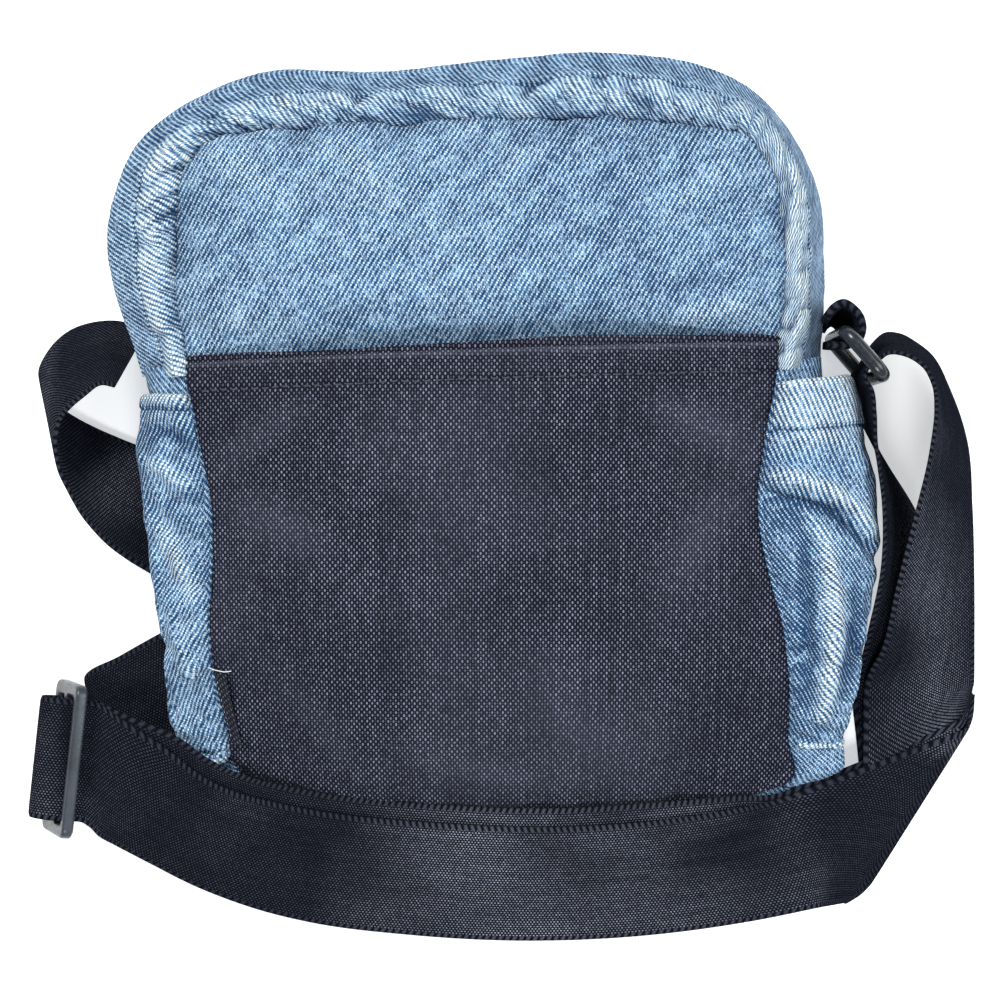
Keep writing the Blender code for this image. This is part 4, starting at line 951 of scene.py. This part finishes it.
make_back_panel()
make_slip_pocket()
make_rim()
make_front_strip()
make_side("side_denim_right", "side_panel_right", 5.86, 9.98, 0.0085)
make_side("side_denim_left", "side_panel_left", 14.02, 18.14, 0.0045)
make_bottom()
make_front()
RIGHT_FOLDS = [
    ([(91, -10), (101, -11), (113, -15), (121, -21), (128, -31)], 2.2, 1.5),
    ([(87, -15), (98, -17), (112, -21), (119, -27), (128, -38)], 1.5, -2.1),
    ([(106, -23), (111, -32), (113, -46), (114, -62), (112, -80), (109, -94)], 2.4, 2.2),
    ([(103, -26), (106, -52), (106, -78)], 2.4, -1.7),
    ([(121, -38), (121, -58), (117, -80)], 2.6, -1.4),
    ([(98, 0), (110, 2), (122, -4)], 3.0, 0.8),
]
LEFT_FOLDS = [
    ([(-103, -4), (-94, -8), (-84, -16)], 2.4, 1.3),
    ([(-99, 4), (-92, 2), (-86, -2)], 2.2, -1.0),
    ([(-98, -24), (-90, -36), (-84, -52)], 3.0, 1.1),
    ([(-90, -60), (-86, -76), (-82, -92)], 2.8, 1.0),
]
right_seam = make_side_pocket("side_pocket_denim_right", "side_pocket_right", 6.05, 9.12,
                              RIGHT_POCKET_BULGE, RIGHT_FOLDS, 15.5, 121, 0.9)
left_seam = make_side_pocket("side_pocket_denim_left", "side_pocket_left", 17.90, 14.45,
                             LEFT_POCKET_BULGE, LEFT_FOLDS, 4.5, 131, 1.0)
welt("pocket_welt_right", *right_seam)
welt("pocket_welt_left", *left_seam)


# ---------------------------------------------------------------- strap, ring and adjuster
ADJUSTER_MIDDLE = Vector((-0.1283, -0.1000, 0.0147))
ADJUSTER_ALONG = Vector((0.107, 0.994, 0.0)).normalized()
ADJUSTER_UP = Vector((0.39, -0.042, 0.92)).normalized()
ADJUSTER_OUT = ADJUSTER_UP.cross(ADJUSTER_ALONG).normalized()
LAYER_PITCH = 0.0019
FLOOR_LAYER = 0.0009
LEFT_LOOP = point_rows([
    (-1096, 180, 330, -1040, 360, 35), (-1140, 188, 330, -1130, 385, 42), (-1195, 150, 325, -1255, 370, 42),
    (-1245, 110, 320, -1328, 317, 42), (-1280, 70, 310, -1372, 237, 42), (-1292, 0, 300, -1372, 190, 42),
    (-1280, -80, 285, -1352, 145, 42), (-1255, -140, 265, -1322, 110, 42),
    (-1225, -200, 240, -1272, 74, 40), (-1180, -262, 215, -1200, 36, 36), (-1135, -311, 190, -1125, 4, 32),
    (-1078, -362, 155, -1048, -22, 26), (-996, -420, 95, -962, -60, 18), (-910, -500, 45, -830, -126, 14),
    (-843, -579, 12, -637, -261, 10),
])
LOWER_LEG = point_rows([
    (-748, -911, 28, -932, -579, 28), (-957, -1026, 32, -1123, -684, 40),
    (-1128, -1113, 45, -1232, -747, 52),
])
FRONT_BAND = point_rows([
    (-1174, -1241, 140, -1096, -883, 185), (-1125, -1265, 90, -965, -980, 200),
    (-1019, -1333, 48, -852, -1062, 200), (-869, -1412, 44, -732, -1116, 195),
    (-701, -1481, 48, -612, -1143, 180), (-520, -1532, 58, -451, -1169, 172),
    (-190, -1580, 68, -154, -1193, 168), (260, -1599, 68, 268, -1209, 168),
    (665, -1572, 68, 634, -1184, 168), (930, -1531, 68, 855, -1150, 160),
    (1125, -1485, 67, 1021, -1119, 130),
])
UNDER_LAYER_SHIFT = tenths([
    15, 45, 56, 58, 56, 56, 56, 56, 52, 34, 10,
])
INNER_LEG = point_rows([
    (1232, -830, 60, 1608, -785, 10), (1240, -765, 100, 1605, -740, 11), (1260, -608, 215, 1580, -580, 13),
    (1295, -370, 320, 1495, -340, 14), (1292, -196, 355, 1420, -190, 14), (1275, -80, 380, 1345, -70, 16),
    (1262, 0, 400, 1295, 15, 22), (1256, 90, 425, 1256, 90, 45), (1243, 164, 440, 1243, 164, 60),
    (1227, 188, 445, 1227, 188, 65), (1228, 219, 445, 1228, 219, 65), (1246, 241, 445, 1246, 241, 65),
])
OUTER_LEG = point_rows([
    (1270, 255, 445, 1272, 285, 65), (1288, 268, 445, 1294, 318, 65), (1315, 272, 440, 1327, 350, 65),
    (1362, 260, 435, 1376, 352, 60), (1409, 227, 430, 1428, 327, 55), (1434, 181, 425, 1483, 285, 50),
    (1444, 105, 417, 1545, 168, 45), (1430, -25, 390, 1601, 13, 35), (1389, -220, 350, 1621, -212, 30),
    (1337, -446, 300, 1628, -421, 30), (1298, -649, 245, 1628, -630, 31), (1255, -785, 150, 1625, -765, 34),
])
RUNNING_BIGHT = tenths([
    (-60, -64), (0, -60), (50, -56), (80, -34), (90, 0),
    (80, 34), (50, 58), (0, 64), (-60, 64),
])
SEWN_LOOP = tenths([
    (-70, 44), (0, 42), (30, 30), (42, 0), (30, -28),
    (0, -38), (-50, -24),
])


def adjuster_stations(places):
    """Stations whose ruling lies along the adjuster's bars, from (out, up) places round them."""
    half = ADJUSTER_ALONG * (STRAP_WIDTH / 2)
    middles = [ADJUSTER_MIDDLE + ADJUSTER_OUT * out + ADJUSTER_UP * up for out, up in places]
    return [(middle - half, middle + half) for middle in middles]


def trimmed(pairs):
    """Stations of the strap's own width, about the middles of pairs of points."""
    done = []
    for first, second in ((Vector(p), Vector(q)) for p, q in pairs):
        middle, half = (first + second) / 2, (first - second).normalized() * (STRAP_WIDTH / 2)
        done.append((middle + half, middle - half))
    return done


def flat_fold(middle, heading_in, heading_out, radius, level, rise):
    """Stations round a flat fold, along rulings parallel to its crease."""
    angle = math.radians((heading_in + heading_out) / 2)
    crease = Vector((math.cos(angle), math.sin(angle), 0.0))
    heading = Vector((math.cos(math.radians(heading_in)), math.sin(math.radians(heading_in)), 0.0))
    out = Vector((crease.y, -crease.x, 0.0))
    if out.dot(heading) < 0:
        out.negate()
    drift = heading.dot(crease) / heading.dot(out)
    half = crease * (STRAP_WIDTH / 2 / heading.dot(out))
    if half.dot(Vector((heading.y, -heading.x, 0.0))) < 0:
        half.negate()
    stations = []
    for degrees in (-90, -45, 0, 45, 90):
        turn = math.radians(degrees)
        place = Vector((middle[0], middle[1], level))
        place += out * radius * math.cos(turn) + crease * radius * turn * drift
        place.z += rise * radius * math.sin(turn)
        kept = 0.932 - 0.035 * math.cos(turn)
        stations.append((place + half * kept, place - half * kept))
    return stations


def under_layer(pairs, shifts, layers):
    """Stations so many layers below others, moved across the strap by shifts."""
    middles = [(first + second) / 2 for first, second in pairs]
    done = []
    for i, (first, second) in enumerate(pairs):
        after, before = middles[min(i + 1, len(pairs) - 1)], middles[max(i - 1, 0)]
        across = (second - first).normalized()
        down = (after - before).cross(across).normalized()
        if down.z > 0:
            down.negate()
        move = down * LAYER_PITCH * layers + across * shifts[i]
        done.append((first + move, second + move))
    return done


def strap_stations():
    band = trimmed(FRONT_BAND)
    second = under_layer(band, UNDER_LAYER_SHIFT, 1)
    tail = under_layer(band[:3], [0.0] * 3, 2)
    heights = [FLOOR_LAYER + LAYER_PITCH * i for i in range(2)]
    small, large = LAYER_PITCH / 2, LAYER_PITCH * 3 / 2
    corner = (0.1424, -0.1141)
    stations = trimmed(LEFT_LOOP)
    stations += flat_fold((-0.0590, -0.0600), -45.0, 210.0, small, heights[0] + small, 1)
    stations += trimmed(LOWER_LEG) + adjuster_stations(RUNNING_BIGHT) + band
    stations += flat_fold(corner, 23.8, 91.8, large, heights[0] + large, -1)
    stations += trimmed(INNER_LEG) + trimmed(OUTER_LEG)
    stations += flat_fold(corner, 271.8, 203.8, small, heights[1] + small, 1)
    return stations + list(reversed(second)) + adjuster_stations(SEWN_LOOP) + tail


def eased(stations):
    """Extra stations where the rulings swing, so that neither selvedge overshoots."""
    done = [stations[0]]
    for (a0, b0), (a1, b1) in zip(stations, stations[1:]):
        first, second = (a1 - a0).length, (b1 - b0).length
        if max(first, second) > 0.018 and max(first, second) > 1.8 * min(first, second):
            done += [(a0.lerp(a1, s), b0.lerp(b1, s)) for s in (0.2, 0.4, 0.6, 0.8)]
        done.append((a1, b1))
    return done


def dense(stations, steps):
    """Rows of (first, second) selvedge points on curves that keep to the stations' spacing."""
    S = np.array([[tuple(a), tuple(b)] for a, b in stations])
    middle = S.mean(1)
    gaps = np.maximum(np.linalg.norm(np.diff(middle, axis=0), axis=1), 0.0001)
    slope = np.zeros_like(S)
    step = np.diff(S, axis=0) / gaps[:, None, None]
    slope[0], slope[-1] = step[0], step[-1]
    near, far = gaps[:-1, None, None], gaps[1:, None, None]
    slope[1:-1] = (step[:-1] * far + step[1:] * near) / (near + far)
    rows = []
    for i in range(len(S) - 1):
        for s in np.arange(steps) / steps:
            rows.append(S[i] * (2 * s ** 3 - 3 * s ** 2 + 1) + slope[i] * gaps[i] * (s ** 3 - 2 * s ** 2 + s)
                        + S[i + 1] * (3 * s ** 2 - 2 * s ** 3) + slope[i + 1] * gaps[i] * (s ** 3 - s ** 2))
    return np.array(rows + [S[-1]])


def ribbon(name, node, rows, thickness, painted_sheen=None):
    """Closed webbing between two selvedges, thinner and round at both."""
    columns = 20
    first, last = rows[:, 0], rows[:, 1]
    middle = (first + last) / 2
    run = arc(middle, 0)
    width = np.linalg.norm(last - first, axis=1)
    normal = unit(np.cross(np.gradient(middle, axis=0), last - first))
    u = np.linspace(0, 1, columns)
    u = 0.5 * (1 - np.cos(u * np.pi)) / 2 + 0.5 * u
    away = np.abs(2 * u - 1)
    thick = thickness / 2 * (0.30 + 0.70 * (1 - away ** 14) ** 0.5) * (1 + 0.10 * bell(away - 0.955, 0.03))
    sheet = first[:, None] + (last - first)[:, None] * u[None, :, None]
    half = normal[:, None] * thick[None, :, None]
    loop = np.concatenate([sheet + half, (sheet - half)[:, ::-1]], axis=1)
    n, m = loop.shape[:2]
    ends = [tuple(reversed(range(m))), tuple(range((n - 1) * m, n * m))]
    made = mesh_object(name, loop.reshape(-1, 3), grid_faces(n, m, wrap_cols=True) + ends)
    across = np.concatenate([u, u[::-1]])
    weft, warp = across * width[:, None], run[:, None] * np.ones((1, m))
    weave_values(made, weft, warp)
    point_values(made, "edge", np.broadcast_to(np.abs(2 * across - 1), (n, m)))
    # the webbing's wear attribute: random tone, plus the painted sheen where one is given
    wear = clouds(warp * 1000, weft * 1000, 26.0, 311, 2) * 0.22
    if painted_sheen:
        wear += np.concatenate([painted_sheen(sheet), painted_sheen(sheet)[:, ::-1]], axis=1)
    point_values(made, "wear", np.clip(wear, 0, 1))
    finish_piece(made, WEBBING, "bag", [node])
    return made, run[-1]


strap_rows = dense(eased(strap_stations()), 9)
strap_rows[..., 2] = np.maximum(strap_rows[..., 2], FLOOR_LAYER)


def strap_painted_sheen(P):
    """Painted sheen: where the lamps' highlights fall on the webbing, painted into its colour."""
    x, y = in_mm(P)
    front = bell(x - 12, 42) * (y < -112) * 0.75
    front += bell(x - 72, 16) * (y < -108) * 0.25 + bell(x - 106, 12) * (y < -96) * 0.22
    leg = bell(x - 148 + (y + 60) * 0.10, 9) * smooth(x, 118, 124) * smooth(-y, -5, 40) * (y > -100) * 0.55
    loop = bell(x + 134, 4) * (y > -10) * 0.35 + bell(x + 132, 7) * (y < -75) * 0.30
    loop += bell(x + 112, 8) * bell(y + 14, 14) * 0.45
    return front + leg + loop


strap, strap_length = ribbon("strap_webbing", "strap", strap_rows, STRAP_THICKNESS, strap_painted_sheen)

RING_MIDDLE = np.array([0.1220, 0.0270, 0.0255])
RING_LEAN = np.array([0.6575, -0.7535, 0.0]) / math.hypot(0.6575, 0.7535)
RING_LENGTH, RING_WIDTH, RING_BAR = 0.0490, 0.0219, 0.0023
ADJUSTER_LENGTH, ADJUSTER_WIDTH, ADJUSTER_THICKNESS = 0.0485, 0.0262, 0.0038
SLOT_LENGTH, SLOT_WIDTH, SLOT_OFFSET = 0.0400, 0.0077, 0.00575
COIL_PITCH = 0.00125
TAB_PATH = tenths([
    (1088, 385), (1118, 425), (1160, 442), (1208, 405),
    (1226, 360), (1220, 320), (1197, 296), (1165, 283),
    (1095, 286),
])


def rounded_rectangle(length, width, radius, steps):
    points = []
    for turn, (sx, sy) in enumerate(((1, 1), (-1, 1), (-1, -1), (1, -1))):
        for angle in np.radians(np.linspace(90 * turn, 90 * (turn + 1), steps)):
            points.append((sx * (length / 2 - radius) + radius * math.cos(angle),
                           sy * (width / 2 - radius) + radius * math.sin(angle)))
    return np.array(points)


def make_ring():
    rim = rounded_rectangle(RING_LENGTH - 2 * RING_BAR, RING_WIDTH - 2 * RING_BAR, 0.0040, 9)
    fine = []
    for p, q in zip(rim, np.roll(rim, -1, 0)):
        steps = max(1, int(math.dist(p, q) / 0.0012))
        fine += [p + (q - p) * i / steps for i in range(steps)]
    points = [RING_MIDDLE + RING_LEAN * across + UP * along for along, across in fine]
    made = mesh_object("ring_moulding", *tube(points, RING_BAR, 18, closed=True))
    finish_piece(made, RING, "ring", ["strap_ring"])


def make_ring_tab():
    """A loop of webbing, pinched below round the ring's bar."""
    path = curve_through(TAB_PATH, 60)
    bar_middle = (RING_MIDDLE - RING_LEAN * 0.00865)[:2]
    low = np.column_stack([path + (bar_middle - path) * 0.55, np.full(60, 0.0070)])
    high = np.column_stack([path + (path.mean(0) - path) * 0.16, np.full(60, 0.0450)])
    ribbon("ring_tab_webbing", "ring_tab", np.stack([low, high], 1), 0.0025)


def plate(name, outlines, thickness, bevel):
    """A flat moulding with rounded edges; the first outline is its rim and the others its slots."""
    curve = bpy.data.curves.new(name, "CURVE")
    curve.dimensions = "2D"
    curve.fill_mode = "BOTH"
    curve.extrude = thickness / 2 - bevel
    curve.bevel_depth = bevel
    curve.bevel_resolution = 4
    curve.offset = -bevel
    for shape in outlines:
        spline = curve.splines.new("POLY")
        spline.points.add(len(shape) - 1)
        for entry, (x, y) in zip(spline.points, shape):
            entry.co = (x, y, 0.0, 1.0)
        spline.use_cyclic_u = True
    drawn = bpy.data.objects.new(name + "_curve", curve)
    SCENE.collection.objects.link(drawn)
    bpy.context.view_layer.update()
    mesh = bpy.data.meshes.new_from_object(drawn.evaluated_get(bpy.context.evaluated_depsgraph_get()))
    bpy.data.objects.remove(drawn, do_unlink=True)
    mesh.shade_smooth()
    mesh.set_sharp_from_angle(angle=math.radians(40))
    made = bpy.data.objects.new(name, mesh)
    SCENE.collection.objects.link(made)
    return made


def make_adjuster():
    outer = rounded_rectangle(ADJUSTER_LENGTH, ADJUSTER_WIDTH, 0.0034, 9)
    slot = rounded_rectangle(SLOT_LENGTH, SLOT_WIDTH, 0.0013, 6)
    made = plate("adjuster_moulding", [outer, slot + (0, SLOT_OFFSET), slot - (0, SLOT_OFFSET)],
                 ADJUSTER_THICKNESS, 0.0011)
    face = ADJUSTER_ALONG.cross(ADJUSTER_UP).normalized()
    for v in made.data.vertices:
        v.co = ADJUSTER_MIDDLE + ADJUSTER_ALONG * v.co.x + ADJUSTER_UP * v.co.y + face * v.co.z
    finish_piece(made, ADJUSTER, "adjuster", ["strap_adjuster"])


def make_coil(name, node, side):
    middle = zip_line(np.linspace(-5.0, 5.0, 2600))
    out = np.cross(unit(np.gradient(middle, axis=0)), UP)
    out = out * np.sign(np.sum(out * (middle - BAG_MIDDLE) * SIDEWAYS, 1, keepdims=True))
    turn = arc(middle, 0) * 2 * np.pi / COIL_PITCH + (0.5 if side > 0 else 0.0) * np.pi
    centre = middle + out * 0.0019 + UP * side * 0.00145
    wire = centre + out * (np.cos(turn) * 0.00082)[:, None] + UP * (np.sin(turn) * 0.00095)[:, None]
    finish_piece(mesh_object(name, *tube(wire, 0.00034, 5)), TEETH, "bag", [node])


def make_label():
    t, w = grid(14.78, 15.72, 40, 0.0, 1.0, 10)
    P = panel(REAR, 0.006 + w * 0.036, 1 - (LEFT_TOP - t) / 7, SLIP_POCKET_LEVEL, BACK_SLOPES, 2.0)
    P[..., 2] += 0.0042 + 0.0010 * np.sin(np.pi * w) - 0.0006 * (1 - w)
    cloth_piece("side_tab", P, arc(P, 1), arc(P, 0), 0.0007, TAB_CLOTH, ["side_label"],
                np.full(w.shape, 0.15), np.zeros(w.shape))
    stitches("side_tab_stitching", P[3:-3, 1], UP, 0.0021, 0.0013, 0.00017, PALE_THREAD, 0.0004)
    loose = P[-1, 2] + np.array([(-2.5, 1.2, 0.6), (-1.0, 0.6, 1.2), (0.8, 0.2, 1.5),
                                 (2.6, -0.1, 1.5), (4.6, 0.1, 1.3)]) * MM
    made = mesh_object("loose_thread", *tube(curve_through(loose, 16), 0.00016, 6))
    finish_piece(made, PALE_THREAD, "bag")


TAB_CLOTH = canvas("tab_cloth", 0.55)
make_ring()
make_ring_tab()
make_adjuster()
make_coil("zip_coil_rear", "zip_teeth_rear", 1)
make_coil("zip_coil_front", "zip_teeth_front", -1)
make_label()
for node_name in ("back_lining", "front_lining"):
    carried(node_name, LINING)
carried("back_foam", FOAM)
for node_name in ("zip_tape_rear", "zip_tape_front"):
    carried(node_name, TAPE)
for node_name in ("zip_slider", "zip_pull", "zip_stop_left", "zip_stop_right"):
    carried(node_name, METAL)
    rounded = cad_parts[node_name].modifiers.new("rounded", "BEVEL")
    rounded.width = 0.00025
    rounded.segments = 2
    rounded.limit_method = "ANGLE"


# ---------------------------------------------------------------- floor and finish
def make_floor():
    made = mesh_object("floor", [(-3, -3, 0), (3, -3, 0), (3, 3, 0), (-3, 3, 0)], [(0, 1, 2, 3)])
    k = Nodes("pale_floor", roughness=0.7)
    tone = k.noise(k.object_place(), 9.0, 3.0)
    k.shader.inputs["Emission Color"].default_value = (0.97, 0.985, 1.0, 1.0)
    k.shader.inputs["Emission Strength"].default_value = 0.55
    made.data.materials.append(k.done(k.mix(tone, (0.84, 0.845, 0.85), (0.88, 0.885, 0.89))))


make_floor()
